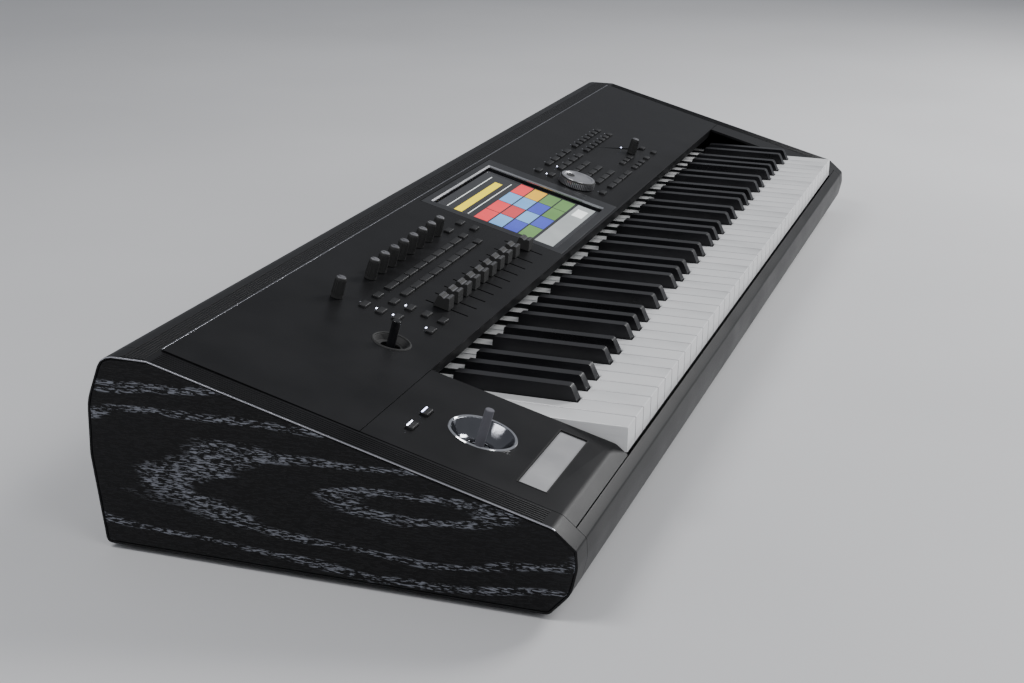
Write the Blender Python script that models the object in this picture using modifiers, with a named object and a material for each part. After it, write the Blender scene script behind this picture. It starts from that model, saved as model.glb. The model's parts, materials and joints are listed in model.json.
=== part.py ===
"""Music workstation with 73 keys, modelled as the separate parts it is put together from.

Units are metres, +Z is up and +X runs along the keys from low to high. The origin lies on the
surface that the feet stand on, under the middle of the casing. Sloped parts are placed in the
frame of the control panel: u runs along +X, v runs up the slope from the panel's front edge,
and h stands off the panel's surface.
"""
import math

import bmesh
import bpy
from mathutils import Matrix, Vector

# Casing
CASE_BOTTOM_Z = 0.004
NOSE_REACH = 0.0099
END_WIDTH = 0.023
LEFT_BLOCK_WIDTH = 0.139
RIGHT_BLOCK_WIDTH = 0.0385
REAR_RIM = 0.04741
END_WALL = 0.003
WOOD_THICKNESS = 0.004
WOOD_RIM = 0.0015
FIT_GAP = 0.0003

# Keys
KEY_TOP_Z = 0.080
WHITE_PITCH = 0.0235
WHITE_COUNT = 43
KEY_GAP = 0.0010
WHITE_FRONT_LENGTH = 0.0490
WHITE_FRONT_HEIGHT = 0.0200
WHITE_THICKNESS = 0.0080
WHITE_SKIRT = 0.0030
WHITE_EDGE = 0.0006
BLACK_WIDTH = 0.0112
BLACK_TOP_WIDTH = 0.0094
BLACK_HEIGHT = 0.0118
BLACK_REAR_Y = 0.1490
BLACK_SLOPE = 0.0048
BLACK_SHANK_TOP = 0.0004
KEY_TAIL_Y = 0.2050
KEY_TAIL_OVERLAP = 0.0010
WHITE_BAR_TOP = 0.0042
BLACK_BAR_LOW = 0.0034
BLACK_BAR_SETBACK = 0.0012
BAR_LENGTH = 0.0160
KEY_PIVOT_Y = 0.2130
KEY_PIVOT_DROP = 0.0090
PIVOT_ROD_RADIUS = 0.0025
OCTAVE = 7
SET_COUNT = 6

# Control panel
PANEL_SLOPE = math.radians(15.16)
PANEL_FRONT_REACH = 0.1527
PANEL_FRONT_RISE = 0.0256
PANEL_LENGTH = 0.1526
PANEL_SHEET = 0.0025
PANEL_LIP = 0.0110
BLOCK_SHEET = 0.0030
NOSE_SHEET = 0.0016
REAR_SHEET = 0.0025
RIM_DROP = 0.0012

# Display
SCREEN_LEFT = -0.0917
SCREEN_RIGHT = 0.0783
SCREEN_FRONT = 0.0120
SCREEN_DEPTH = 0.0040
SCREEN_THICKNESS = 0.0050
BEZEL_LEFT = 0.0120
BEZEL_RIGHT = 0.0197
BEZEL_FRONT = 0.0093
BEZEL_REAR = 0.0072
BEZEL_MARGIN = 0.0044
BEZEL_DEPTH = 0.0090

# Knobs, faders and dial
KNOB_PITCH = 0.0220
KNOB_COUNT = 8
KNOB_FIRST_U = -0.3315
KNOB_V = 0.1040
KNOB_HEIGHT = 0.0175
KNOB_RADIUS = 0.0052
KNOB_TOP_RADIUS = 0.0044
SHAFT_RADIUS = 0.0030
SHAFT_LENGTH = 0.0110
VOLUME_U = -0.3940
VOLUME_V = 0.1070
TEMPO_U = 0.3160
TEMPO_V = 0.0450
DIAL_U = 0.1220
DIAL_V = 0.0560
DIAL_RADIUS = 0.0190
DIAL_HEIGHT = 0.0085
FADER_FRONT_V = 0.0153
FADER_REAR_V = 0.0535
FADER_REST_V = 0.0375
FADER_SLOT = 0.0022
FADER_COUNT = 9
SLIDER_U = -0.1257
SLIDER_REST_V = 0.0344
CAP_WIDTH = 0.0125
CAP_LENGTH = 0.0140
CAP_HEIGHT = 0.0105
STEM_WIDTH = 0.0012
STEM_LENGTH = 0.0040
STEM_DEPTH = 0.0110

# Buttons
BUTTON_WIDTH = 0.0120
BUTTON_DEPTH = 0.0058
BUTTON_RISE = 0.0020
BUTTON_SINK = 0.0045
STRIP_BUTTON_WIDTH = 0.0196
ROW_PITCH = 0.0145
ROW_FIRST_V = 0.0265
MAT = 0.0010
MAT_BORDER = 0.0060
BANK_WIDTH = 0.0100
BANK_PITCH = 0.0160
BANK_U = 0.2605
LOW_BANK_U = 0.2610
LAST_BANK_REACH = 0.0890
PAGE_U = -0.3885
SELECT_U = -0.3610
MUTE_U = -0.1565
RESET_U = -0.1250
MODE_U = 0.1610
MODE_WIDTH = 0.0170
MENU_U = 0.1620
MENU_WIDTH = 0.0190
EXIT_U = 0.1225
ENTER_U = 0.1260

# Joysticks and ribbon
STICK_RADIUS = 0.0035
STICK_TAIL = 0.0040
CROSS_PIN_RADIUS = 0.0015
DISH_WALL = 0.0015
JOY_FROM_END = 0.0700
JOY_V = -0.0670
JOY_RADIUS = 0.0247
JOY_DEPTH = 0.0110
JOY_FLOOR_HOLE = 0.0090
JOY_PIVOT_DEPTH = 0.0200
JOY_GIMBAL_RADIUS = 0.0110
JOY_HEIGHT = 0.0190
VECTOR_U = -0.4350
VECTOR_V = 0.0415
VECTOR_RADIUS = 0.0150
VECTOR_DEPTH = 0.0040
VECTOR_FLOOR_HOLE = 0.0080
VECTOR_PIVOT_DEPTH = 0.0120
VECTOR_GIMBAL_RADIUS = 0.0090
VECTOR_HEIGHT = 0.0180
RIBBON_FROM_END = 0.0213
RIBBON_FROM_KEYS = 0.0152
RIBBON_FRONT_V = -0.1313
RIBBON_REAR_V = -0.1102
RIBBON_DEPTH = 0.0012
SWITCH_FROM_JOY = (-0.0335, -0.0045)
SWITCH_V = -0.0246

# Underside and inside
FOOT_RADIUS = 0.0100
FOOT_X = (-0.520, 0.520)
FOOT_Y = (-0.110, 0.125)
PAN_SHEET = 0.0025
FLANGE = 0.0250
BOARD = 0.0016
STANDOFF = 0.0060
STANDOFF_RADIUS = 0.0030
CHASSIS_FRONT = 0.0160
CHASSIS_REAR = 0.2320
CHASSIS_DROP = 0.0380
CHASSIS_SHEET = 0.0025
CHASSIS_FLANGE = 0.0120
BRIDGE_WIDTH = 0.0080
BRIDGE_DROP = 0.0016
CONTROL_BOARD_U = (-0.4100, 0.3800)
CONTROL_BOARD_V = (0.0120, 0.1180)
REAR_BOARD_Y = (0.0800, 0.1500)
MAIN_BOARD_X = (0.0500, 0.3500)
SUPPLY_X = (-0.4500, -0.2700)
CHIP = 0.0240
CHIP_HEIGHT = 0.0025
CAPACITOR_RADIUS = 0.0090
CAPACITOR_HEIGHT = 0.0300
TRANSFORMER = 0.0500
TRANSFORMER_HEIGHT = 0.0350
TRANSFORMER_REACH = 0.0650

# Rear sockets
SOCKET_Z = 0.0870
SOCKET_BODY_DEPTH = 0.0140
JACK_RADIUS = 0.0062
JACK_BORE = 0.0033
JACK_RECESS = 0.0035
JACK_PITCH = 0.0250
JACK_COUNT = 10
JACK_FIRST_X = -0.1200
DIN_RADIUS = 0.0090
DIN_PITCH = 0.0240
DIN_FIRST_X = 0.1700
USB_X = (0.2560, 0.2800)
USB_WIDTH = 0.0120
USB_HEIGHT = 0.0050
INLET_X = -0.4800
INLET_WIDTH = 0.0270
INLET_HEIGHT = 0.0190
ROCKER_X = -0.4300
ROCKER_WIDTH = 0.0130
ROCKER_HALF = 0.0090
ROCKER_CREST = 0.0070
ROCKER_WAIST = 0.0050
ROCKER_BACK = 0.0030
ROCKER_DEPTH = 0.0086
ROCKER_TILT = math.radians(8)

# Values worked out from the sizes above
KEYS_WIDTH = WHITE_COUNT * WHITE_PITCH
CASE_WIDTH = 2 * END_WIDTH + LEFT_BLOCK_WIDTH + KEYS_WIDTH + RIGHT_BLOCK_WIDTH
PANEL_REACH = PANEL_FRONT_REACH + PANEL_LENGTH * math.cos(PANEL_SLOPE)
CASE_DEPTH = round(NOSE_REACH + PANEL_REACH + REAR_RIM, 5)
HALF_WIDTH = CASE_WIDTH / 2
FIRST_KEY_X = (LEFT_BLOCK_WIDTH - RIGHT_BLOCK_WIDTH - KEYS_WIDTH) / 2
SCREEN_REAR = PANEL_LENGTH - BEZEL_REAR - BEZEL_MARGIN
JOY_U = END_WIDTH + JOY_FROM_END - HALF_WIDTH
RIBBON_LEFT = END_WIDTH + RIBBON_FROM_END - HALF_WIDTH
RIBBON_RIGHT = FIRST_KEY_X - RIBBON_FROM_KEYS
SWITCH_U = tuple(JOY_U + step for step in SWITCH_FROM_JOY)
FRONT_Y = -CASE_DEPTH / 2
KEY_FRONT_Y = FRONT_Y + NOSE_REACH
INNER_X = HALF_WIDTH - END_WIDTH
KEYS_RIGHT_X = FIRST_KEY_X + WHITE_COUNT * WHITE_PITCH
PANEL_Y = KEY_FRONT_Y + PANEL_FRONT_REACH
PANEL_Z = KEY_TOP_Z + PANEL_FRONT_RISE
SLOPE_COS = math.cos(PANEL_SLOPE)
SLOPE_SIN = math.sin(PANEL_SLOPE)
PANEL_REAR_Y = PANEL_Y + PANEL_LENGTH * SLOPE_COS
PANEL_REAR_Z = PANEL_Z + PANEL_LENGTH * SLOPE_SIN
PIVOT_Y = KEY_FRONT_Y + KEY_PIVOT_Y
PIVOT_Z = KEY_TOP_Z - KEY_PIVOT_DROP
ALONG_X = Matrix(((0, 0, 1, 0), (1, 0, 0, 0), (0, 1, 0, 0), (0, 0, 0, 1)))

for item in list(bpy.data.objects):
    bpy.data.objects.remove(item, do_unlink=True)

parts = bpy.data.collections.new("music_workstation")
cutters = bpy.data.collections.new("cutters")
bpy.context.scene.collection.children.link(parts)
bpy.context.scene.collection.children.link(cutters)


def finish(name, colour, roughness, metallic=0.0):
    """A plain material with the part's colour."""
    material = bpy.data.materials.new(name)
    material.use_nodes = True
    shader = material.node_tree.nodes["Principled BSDF"]
    shader.inputs["Base Color"].default_value = (*colour, 1.0)
    shader.inputs["Roughness"].default_value = roughness
    shader.inputs["Metallic"].default_value = metallic
    return material


PAINTED = finish("black_painted_metal", (0.020, 0.020, 0.022), 0.45)
WOOD = finish("stained_ash", (0.030, 0.026, 0.030), 0.35)
IVORY = finish("key_white", (0.78, 0.79, 0.82), 0.18)
EBONY = finish("key_black", (0.012, 0.012, 0.014), 0.30)
KNOB = finish("knob_black", (0.018, 0.018, 0.019), 0.45)
BUTTON = finish("button_black", (0.014, 0.014, 0.015), 0.35)
CHROME = finish("chrome", (0.80, 0.80, 0.82), 0.08, 1.0)
GREY_METAL = finish("grey_metal", (0.30, 0.30, 0.30), 0.40, 1.0)
GLASS = finish("screen_glass", (0.010, 0.010, 0.012), 0.08)
PAD = finish("ribbon_grey", (0.55, 0.55, 0.56), 0.55)
STICK = finish("stick_grey", (0.13, 0.13, 0.15), 0.40)
STEEL = finish("zinc_steel", (0.50, 0.51, 0.53), 0.35, 1.0)
CIRCUIT = finish("circuit_board", (0.03, 0.16, 0.08), 0.50)


def add(name, mesh, material=None, parent=None, location=(0, 0, 0)):
    """Put a mesh in the scene as a part, or as a cutter when it has no material."""
    piece = bpy.data.objects.new(name, mesh)
    (parts if material else cutters).objects.link(piece)
    piece.parent = parent
    piece.location = location
    if material:
        mesh.materials.clear()
        mesh.materials.append(material)
    else:
        piece.display_type = "WIRE"
        piece.hide_render = True
    return piece


def rounded(corners, steps=3):
    """Points of an outline whose corners (first, second, radius) are rounded by arcs."""
    points = []
    for index, (first, second, radius) in enumerate(corners):
        here = Vector((first, second))
        if radius == 0:
            points.append(here)
            continue
        before = (Vector(corners[index - 1][:2]) - here).normalized()
        after = (Vector(corners[(index + 1) % len(corners)][:2]) - here).normalized()
        half = before.angle(after) / 2
        centre = here + (before + after).normalized() * (radius / math.sin(half))
        start = here + before * (radius / math.tan(half)) - centre
        end = here + after * (radius / math.tan(half)) - centre
        turn = start.angle_signed(end)
        for step in range(steps + 1):
            points.append(centre + Matrix.Rotation(-turn * step / steps, 2) @ start)
    return points


def inset(corners, distance):
    """The corners of a counterclockwise outline moved inwards by one distance."""
    moved = []
    for index, (first, second, radius) in enumerate(corners):
        here = Vector((first, second))
        into = (here - Vector(corners[index - 1][:2])).normalized()
        out = (Vector(corners[(index + 1) % len(corners)][:2]) - here).normalized()
        side = Vector((-into.y, into.x)) + Vector((-out.y, out.x))
        place = here + side * (2 * distance / side.length_squared)
        moved.append((place.x, place.y, max(radius - distance, 0.0)))
    return moved


def prism(name, outlines, low, high, material=None, parent=None, turn=ALONG_X):
    """Solids cut from flat outlines, from low to high along X, or along Z with turn=None."""
    curve = bpy.data.curves.new(name, "CURVE")
    curve.dimensions = "2D"
    curve.fill_mode = "BOTH"
    curve.extrude = (high - low) / 2
    for outline in outlines:
        spline = curve.splines.new("POLY")
        spline.points.add(len(outline) - 1)
        for point, place in zip(spline.points, outline):
            point.co = (place[0], place[1], 0.0, 1.0)
        spline.use_cyclic_u = True
    guide = bpy.data.objects.new(name + "_outline", curve)
    parts.objects.link(guide)
    view = bpy.context.evaluated_depsgraph_get()
    mesh = bpy.data.meshes.new_from_object(guide.evaluated_get(view))
    bpy.data.objects.remove(guide, do_unlink=True)
    shape = bmesh.new()
    shape.from_mesh(mesh)
    bmesh.ops.remove_doubles(shape, verts=shape.verts, dist=0.00001)
    bmesh.ops.translate(shape, verts=shape.verts, vec=(0, 0, (low + high) / 2))
    if turn:
        bmesh.ops.transform(shape, verts=shape.verts, matrix=turn)
    bmesh.ops.dissolve_limit(shape, angle_limit=0.001, verts=shape.verts, edges=shape.edges)
    shape.to_mesh(mesh)
    shape.free()
    mesh.name = name
    return add(name, mesh, material, parent)


def boxes(name, places, material=None, parent=None, location=(0, 0, 0), edge=0.0):
    """Boxes given by their low and high corners, joined as one object of separate solids."""
    shape = bmesh.new()
    for low, high in places:
        low = Vector(low)
        high = Vector(high)
        size = Matrix.Diagonal((*(high - low), 1.0))
        bmesh.ops.create_cube(shape, size=1.0, matrix=Matrix.Translation((low + high) / 2) @ size)
    if edge:
        top = [side for side in shape.edges if all(end.co.z > 0 for end in side.verts)]
        bmesh.ops.bevel(shape, geom=top, offset=edge, segments=1, affect="EDGES", profile=0.5)
    mesh = bpy.data.meshes.new(name)
    shape.to_mesh(mesh)
    shape.free()
    return add(name, mesh, material, parent, location)


def discs(name, places, radius, low, high, material=None, parent=None, sides=12, top=None):
    """Upright cylinders or cones at the given (x, y) places, as separate solids."""
    shape = bmesh.new()
    for across, along in places:
        middle = Matrix.Translation((across, along, (low + high) / 2))
        bmesh.ops.create_cone(shape, cap_ends=True, segments=sides, radius1=radius,
                              radius2=radius if top is None else top, depth=high - low,
                              matrix=middle)
    mesh = bpy.data.meshes.new(name)
    shape.to_mesh(mesh)
    shape.free()
    return add(name, mesh, material, parent)


def turned(name, profile, material=None, parent=None, location=(0, 0, 0), steps=24, closed=False):
    """A turned solid: its (radius, height) profile runs down its outer side, from axis to axis.

    A closed profile makes a ring, and comes back up on its inner side.
    """
    shape = bmesh.new()
    ends = [shape.verts.new((radius, 0, height)) for radius, height in profile]
    for first, second in zip(ends, ends[1:]):
        shape.edges.new((first, second))
    if closed:
        shape.edges.new((ends[-1], ends[0]))
    mesh = bpy.data.meshes.new(name)
    shape.to_mesh(mesh)
    shape.free()
    piece = add(name, mesh, material, parent, location)
    screw = piece.modifiers.new("turn", "SCREW")
    screw.steps = steps
    screw.render_steps = steps
    screw.use_merge_vertices = True
    screw.merge_threshold = 0.00001
    screw.use_smooth_shade = True
    return piece


def skin(name, corners, thickness, low, high, material):
    """A bent sheet: an open outline in Y and Z, run along X and given its thickness."""
    points = rounded(corners)
    shape = bmesh.new()
    row = [shape.verts.new((low, first, second)) for first, second in points]
    for first, second in zip(row, row[1:]):
        shape.edges.new((first, second))
    run = bmesh.ops.extrude_edge_only(shape, edges=shape.edges[:])
    moved = [part for part in run["geom"] if isinstance(part, bmesh.types.BMVert)]
    bmesh.ops.translate(shape, verts=moved, vec=(high - low, 0, 0))
    mesh = bpy.data.meshes.new(name)
    shape.to_mesh(mesh)
    shape.free()
    piece = add(name, mesh, material)
    wall = piece.modifiers.new("wall", "SOLIDIFY")
    wall.thickness = thickness
    wall.offset = 1.0
    wall.use_even_offset = True
    return piece


def operate(target, tool, operation="DIFFERENCE"):
    """Cut a tool out of a part, or join it to the part."""
    step = target.modifiers.new(tool.name, "BOOLEAN")
    step.operation = operation
    step.solver = "EXACT"
    step.object = tool
    return step


def empty(name, location, slope=0.0):
    """A frame that pieces are placed in."""
    frame = bpy.data.objects.new(name, None)
    parts.objects.link(frame)
    frame.location = location
    frame.rotation_euler = (slope, 0.0, 0.0)
    return frame


panel_frame = empty("panel_frame", (0.0, PANEL_Y, PANEL_Z), PANEL_SLOPE)
key_frame = empty("key_frame", (0.0, PIVOT_Y, PIVOT_Z))


# End castings and wood
def end_corners():
    """Side outline of the casing, counterclockwise from the bottom front, in Y and Z."""
    front = KEY_FRONT_Y
    rise = KEY_TOP_Z
    rear = CASE_DEPTH / 2
    plane_y = front + 0.0079
    plane_z = PANEL_Z - (PANEL_Y - plane_y) * math.tan(PANEL_SLOPE)
    return [
        (front + 0.0090, CASE_BOTTOM_Z, 0.006),
        (rear - 0.0100, CASE_BOTTOM_Z, 0.004),
        (rear, rise - 0.0100, 0.040),
        (rear, rise + 0.0300, 0.040),
        (rear - 0.0120, PANEL_REAR_Z - RIM_DROP, 0.012),
        (PANEL_REAR_Y, PANEL_REAR_Z - RIM_DROP, 0.0),
        (plane_y, plane_z, 0.010),
        (front - 0.0088, rise - 0.0276, 0.003),
        (front - NOSE_REACH, rise - 0.0400, 0.020),
        (front - 0.0060, rise - 0.0590, 0.020),
    ]


def make_end(side, hand):
    """One ribbed end casting with its wood panel let into the outer face."""
    outer = side * HALF_WIDTH
    inner = side * INNER_X
    low, high = sorted((outer, inner))
    casting = prism(hand + "_end_casting", [rounded(end_corners())], low, high, PAINTED)
    pocket = side * (HALF_WIDTH - WOOD_THICKNESS - FIT_GAP)
    low, high = sorted((pocket, side * (HALF_WIDTH + END_WALL)))
    bed = prism(hand + "_wood_bed", [rounded(inset(end_corners(), WOOD_RIM))], low, high)
    operate(casting, bed)
    low, high = sorted((pocket - side * END_WALL, inner - side * END_WALL))
    hollow = prism(hand + "_end_hollow", [rounded(inset(end_corners(), END_WALL))], low, high)
    operate(casting, hollow)
    low, high = sorted((outer, side * (HALF_WIDTH - WOOD_THICKNESS)))
    wood = inset(end_corners(), WOOD_RIM + FIT_GAP)
    prism(hand + "_wood_panel", [rounded(wood)], low, high, WOOD)


make_end(-1, "left")
make_end(1, "right")


# Blocks beside the keys
def nose_corners():
    """Top skin of the blocks beside the keys, from the panel forward and down the nose."""
    front = KEY_FRONT_Y
    slope = math.tan(PANEL_SLOPE)
    plane_y = front + 0.0079
    plane_z = PANEL_Z - (PANEL_Y - plane_y) * slope
    back_y = PANEL_Y - FIT_GAP
    return [
        (back_y, PANEL_Z - (PANEL_Y - back_y) * slope, 0.0),
        (plane_y, plane_z, 0.010),
        (front - 0.0012, KEY_TOP_Z - 0.0212, 0.0),
    ]


block = skin("left_control_block", nose_corners(), BLOCK_SHEET, -INNER_X + FIT_GAP,
             FIRST_KEY_X - KEY_GAP, PAINTED)
skin("right_end_block", nose_corners(), BLOCK_SHEET, KEYS_RIGHT_X + KEY_GAP,
     INNER_X - FIT_GAP, PAINTED)

# Front rail, rear cover and base pan
rail_corners = [
    (KEY_FRONT_Y - 0.0015, KEY_TOP_Z - 0.0215, 0.0),
    (KEY_FRONT_Y - 0.0088, KEY_TOP_Z - 0.0276, 0.003),
    (KEY_FRONT_Y - NOSE_REACH, KEY_TOP_Z - 0.0400, 0.020),
    (KEY_FRONT_Y - 0.0060, KEY_TOP_Z - 0.0590, 0.020),
    (KEY_FRONT_Y + 0.0090, CASE_BOTTOM_Z, 0.006),
    (KEY_FRONT_Y + 0.0090 + FLANGE, CASE_BOTTOM_Z, 0.0),
]
skin("front_rail", rail_corners, NOSE_SHEET, -INNER_X + FIT_GAP, INNER_X - FIT_GAP, PAINTED)
rear_y = CASE_DEPTH / 2
rear_corners = [
    (rear_y - 0.0100 - FLANGE, CASE_BOTTOM_Z, 0.0),
    (rear_y - 0.0100, CASE_BOTTOM_Z, 0.004),
    (rear_y, KEY_TOP_Z - 0.0100, 0.040),
    (rear_y, KEY_TOP_Z + 0.0300, 0.040),
    (rear_y - 0.0120, PANEL_REAR_Z - RIM_DROP, 0.012),
    (PANEL_REAR_Y + PANEL_SHEET * SLOPE_SIN + FIT_GAP, PANEL_REAR_Z - RIM_DROP, 0.0),
]
rear_cover = skin("rear_cover", rear_corners, REAR_SHEET, -INNER_X + FIT_GAP,
                  INNER_X - FIT_GAP, PAINTED)


# Sockets and power inlet in the rear cover
def socket_box(x, width, height, low, high):
    """A box on the row of sockets, from low to high below the rear face."""
    return ((x - width / 2, SOCKET_Z - height / 2, low), (x + width / 2, SOCKET_Z + height / 2, high))


rear_frame = empty("rear_frame", (0.0, rear_y, 0.0), math.radians(90))
in_sheet = REAR_SHEET / 2
jacks = [(JACK_FIRST_X + index * JACK_PITCH, SOCKET_Z) for index in range(JACK_COUNT)]
dins = [(DIN_FIRST_X + index * DIN_PITCH, SOCKET_Z) for index in range(3)]
slots = [(x, USB_WIDTH, USB_HEIGHT) for x in USB_X] + [(INLET_X, INLET_WIDTH, INLET_HEIGHT)]
operate(rear_cover, discs("jack_bodies", jacks, JACK_RADIUS, in_sheet, SOCKET_BODY_DEPTH,
                          parent=rear_frame), "UNION")
operate(rear_cover, discs("din_bodies", dins, DIN_RADIUS, in_sheet, SOCKET_BODY_DEPTH,
                          parent=rear_frame), "UNION")
operate(rear_cover, boxes("slot_bodies", [
    socket_box(x, width + 2 * DISH_WALL, height + 2 * DISH_WALL, in_sheet, SOCKET_BODY_DEPTH)
    for x, width, height in slots], parent=rear_frame), "UNION")
operate(rear_cover, discs("jack_bores", jacks, JACK_BORE, -0.001, JACK_RECESS, parent=rear_frame))
operate(rear_cover, discs("din_recesses", dins, DIN_RADIUS - DISH_WALL, -0.001, JACK_RECESS,
                          parent=rear_frame))
operate(rear_cover, boxes("slot_recesses", [
    socket_box(x, width, height, -0.001, JACK_RECESS) for x, width, height in slots],
    parent=rear_frame))

# Power switch
rocker_reach = math.hypot(ROCKER_HALF, ROCKER_CREST) * math.sin(
    math.atan2(ROCKER_HALF, ROCKER_CREST) + ROCKER_TILT)
operate(rear_cover, boxes("rocker_window", [
    socket_box(ROCKER_X, ROCKER_WIDTH, 2 * (rocker_reach + FIT_GAP), -0.001, ROCKER_DEPTH)],
    parent=rear_frame))
rocker_outline = [
    (ROCKER_WAIST, 0.0), (ROCKER_CREST, ROCKER_HALF), (-ROCKER_BACK, ROCKER_CREST),
    (-ROCKER_BACK, -ROCKER_CREST), (ROCKER_CREST, -ROCKER_HALF),
]
rocker_half = ROCKER_WIDTH / 2 - FIT_GAP
rocker = prism("power_switch", [rocker_outline], -rocker_half, rocker_half, KNOB)
rocker.location = (ROCKER_X, rear_y - ROCKER_DEPTH, SOCKET_Z)
rocker.rotation_euler = (-ROCKER_TILT, 0.0, 0.0)

# Base pan with its four feet
pan_low_y = KEY_FRONT_Y + 0.0130
pan_high_y = rear_y - 0.0150
pan_low_z = CASE_BOTTOM_Z + REAR_SHEET + FIT_GAP
pan_high_z = pan_low_z + PAN_SHEET
pan_x = INNER_X - FIT_GAP
base_pan = boxes("base_pan", [((-pan_x, pan_low_y, pan_low_z), (pan_x, pan_high_y, pan_high_z))],
                 PAINTED)
feet = [(x, y) for x in FOOT_X for y in FOOT_Y]
operate(base_pan, discs("feet", feet, FOOT_RADIUS, 0.0, pan_low_z + PAN_SHEET / 2, sides=16),
        "UNION")

# Key chassis with the rod that all keys turn on
chassis_foot = pan_high_z + FIT_GAP
chassis_top = KEY_TOP_Z - CHASSIS_DROP
chassis_front = KEY_FRONT_Y + CHASSIS_FRONT
chassis_rear = KEY_FRONT_Y + CHASSIS_REAR
chassis_corners = [
    (chassis_rear + CHASSIS_FLANGE, chassis_foot + CHASSIS_SHEET, 0.0),
    (chassis_rear, chassis_foot + CHASSIS_SHEET, 0.0), (chassis_rear, chassis_top, 0.0),
    (chassis_front, chassis_top, 0.0), (chassis_front, chassis_foot, 0.0),
    (chassis_front + CHASSIS_FLANGE, chassis_foot, 0.0),
]
chassis_low = FIRST_KEY_X - 2 * KEY_GAP
chassis_high = KEYS_RIGHT_X + 2 * KEY_GAP
chassis = skin("key_chassis", chassis_corners, CHASSIS_SHEET, chassis_low, chassis_high, STEEL)
bridge = boxes("pivot_bridge", [
    ((chassis_low, PIVOT_Y - BRIDGE_WIDTH / 2, chassis_top - CHASSIS_SHEET / 2),
     (chassis_high, PIVOT_Y + BRIDGE_WIDTH / 2, PIVOT_Z - BRIDGE_DROP))])
operate(chassis, bridge, "UNION")
rod = discs("pivot_rod", [(0, 0)], PIVOT_ROD_RADIUS, chassis_low + 0.0001, chassis_high - 0.0001)
rod.location = (0.0, PIVOT_Y, PIVOT_Z)
rod.rotation_euler = (0.0, math.radians(90), 0.0)
operate(chassis, rod, "UNION")


# Circuit boards
def rear_board(name, left, right):
    """A circuit board on standoffs behind the key chassis."""
    front, rear = REAR_BOARD_Y
    low = chassis_foot + STANDOFF
    board = boxes(name, [((left, front, low), (right, rear, low + BOARD))], CIRCUIT)
    places = [(x, y) for x in (left + STANDOFF, right - STANDOFF)
              for y in (front + STANDOFF, rear - STANDOFF)]
    operate(board, discs(name + "_standoffs", places, STANDOFF_RADIUS, chassis_foot, low + BOARD / 2,
                         sides=8), "UNION")
    return board


board_mid = chassis_foot + STANDOFF + BOARD / 2
chip_y = sum(REAR_BOARD_Y) / 2
chips = [((x, chip_y - CHIP / 2, board_mid), (x + CHIP, chip_y + CHIP / 2, board_mid + CHIP_HEIGHT))
         for x in (MAIN_BOARD_X[0] + 2 * CHIP, MAIN_BOARD_X[0] + 4 * CHIP, MAIN_BOARD_X[0] + 6 * CHIP)]
main_board = rear_board("main_board", *MAIN_BOARD_X)
operate(main_board, boxes("chips", chips), "UNION")
supply = rear_board("power_supply", *SUPPLY_X)
capacitors = [(SUPPLY_X[0] + 0.03 + index * 3 * CAPACITOR_RADIUS, chip_y) for index in range(3)]
operate(supply, discs("capacitors", capacitors, CAPACITOR_RADIUS, board_mid, board_mid + CAPACITOR_HEIGHT),
        "UNION")
operate(supply, boxes("transformer", [
    ((SUPPLY_X[1] - TRANSFORMER_REACH, chip_y - TRANSFORMER / 2, board_mid),
     (SUPPLY_X[1] - TRANSFORMER_REACH + TRANSFORMER, chip_y + TRANSFORMER / 2,
      board_mid + TRANSFORMER_HEIGHT))]), "UNION")
boxes("control_board", [((CONTROL_BOARD_U[0], CONTROL_BOARD_V[0], -SHAFT_LENGTH - FIT_GAP - BOARD),
                         (CONTROL_BOARD_U[1], CONTROL_BOARD_V[1], -SHAFT_LENGTH - FIT_GAP))],
      CIRCUIT, panel_frame)


# Control panel
def panel_button(u, v, width=BUTTON_WIDTH):
    """Low and high corners of one button in the panel frame, down into its rubber mat."""
    return ((u - width / 2, v - BUTTON_DEPTH / 2, -BUTTON_SINK - MAT / 2),
            (u + width / 2, v + BUTTON_DEPTH / 2, BUTTON_RISE))


def window(low, high):
    """A hole through the panel that takes a row of buttons with clearance."""
    return ((low[0] - FIT_GAP, low[1] - FIT_GAP, -0.01), (high[0] + FIT_GAP, high[1] + FIT_GAP, 0.01))


def row(first_u, v, count, pitch=KNOB_PITCH, width=BUTTON_WIDTH):
    """A row of buttons."""
    return [panel_button(first_u + index * pitch, v, width) for index in range(count)]


def row_v(number):
    """Place up the slope of a numbered button row, from the panel's front."""
    return ROW_FIRST_V + number * ROW_PITCH


knob_us = [KNOB_FIRST_U + index * KNOB_PITCH for index in range(KNOB_COUNT)]
fader_us = [KNOB_FIRST_U + index * KNOB_PITCH for index in range(FADER_COUNT)]
mixer_rows = [row(KNOB_FIRST_U, row_v(number), KNOB_COUNT, width=STRIP_BUTTON_WIDTH)
              for number in (3, 4)]
mixer_singles = [panel_button(SELECT_U, row_v(number)) for number in range(5)]
mixer_singles += [panel_button(PAGE_U, row_v(number)) for number in (0, 2, 3, 4)]
mixer_singles += [panel_button(MUTE_U, row_v(number)) for number in (3, 4, 5)]
mixer_singles += [panel_button(RESET_U, row_v(number)) for number in (4, 5)]
mode_rows = [row(MODE_U, row_v(number), 4, width=MODE_WIDTH) for number in (4, 5)]
mode_rows += [row(MENU_U, row_v(number), 3, width=MENU_WIDTH) for number in (1, 2, 3)]
mode_rows.append(row(MENU_U, row_v(0), 4, width=MENU_WIDTH))
mode_singles = [panel_button(EXIT_U, row_v(number)) for number in (4, 5)]
mode_singles.append(panel_button(ENTER_U, row_v(0)))
for number in (4, 5):
    mode_singles += row(BANK_U, row_v(number), 7, BANK_PITCH, BANK_WIDTH)
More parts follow.
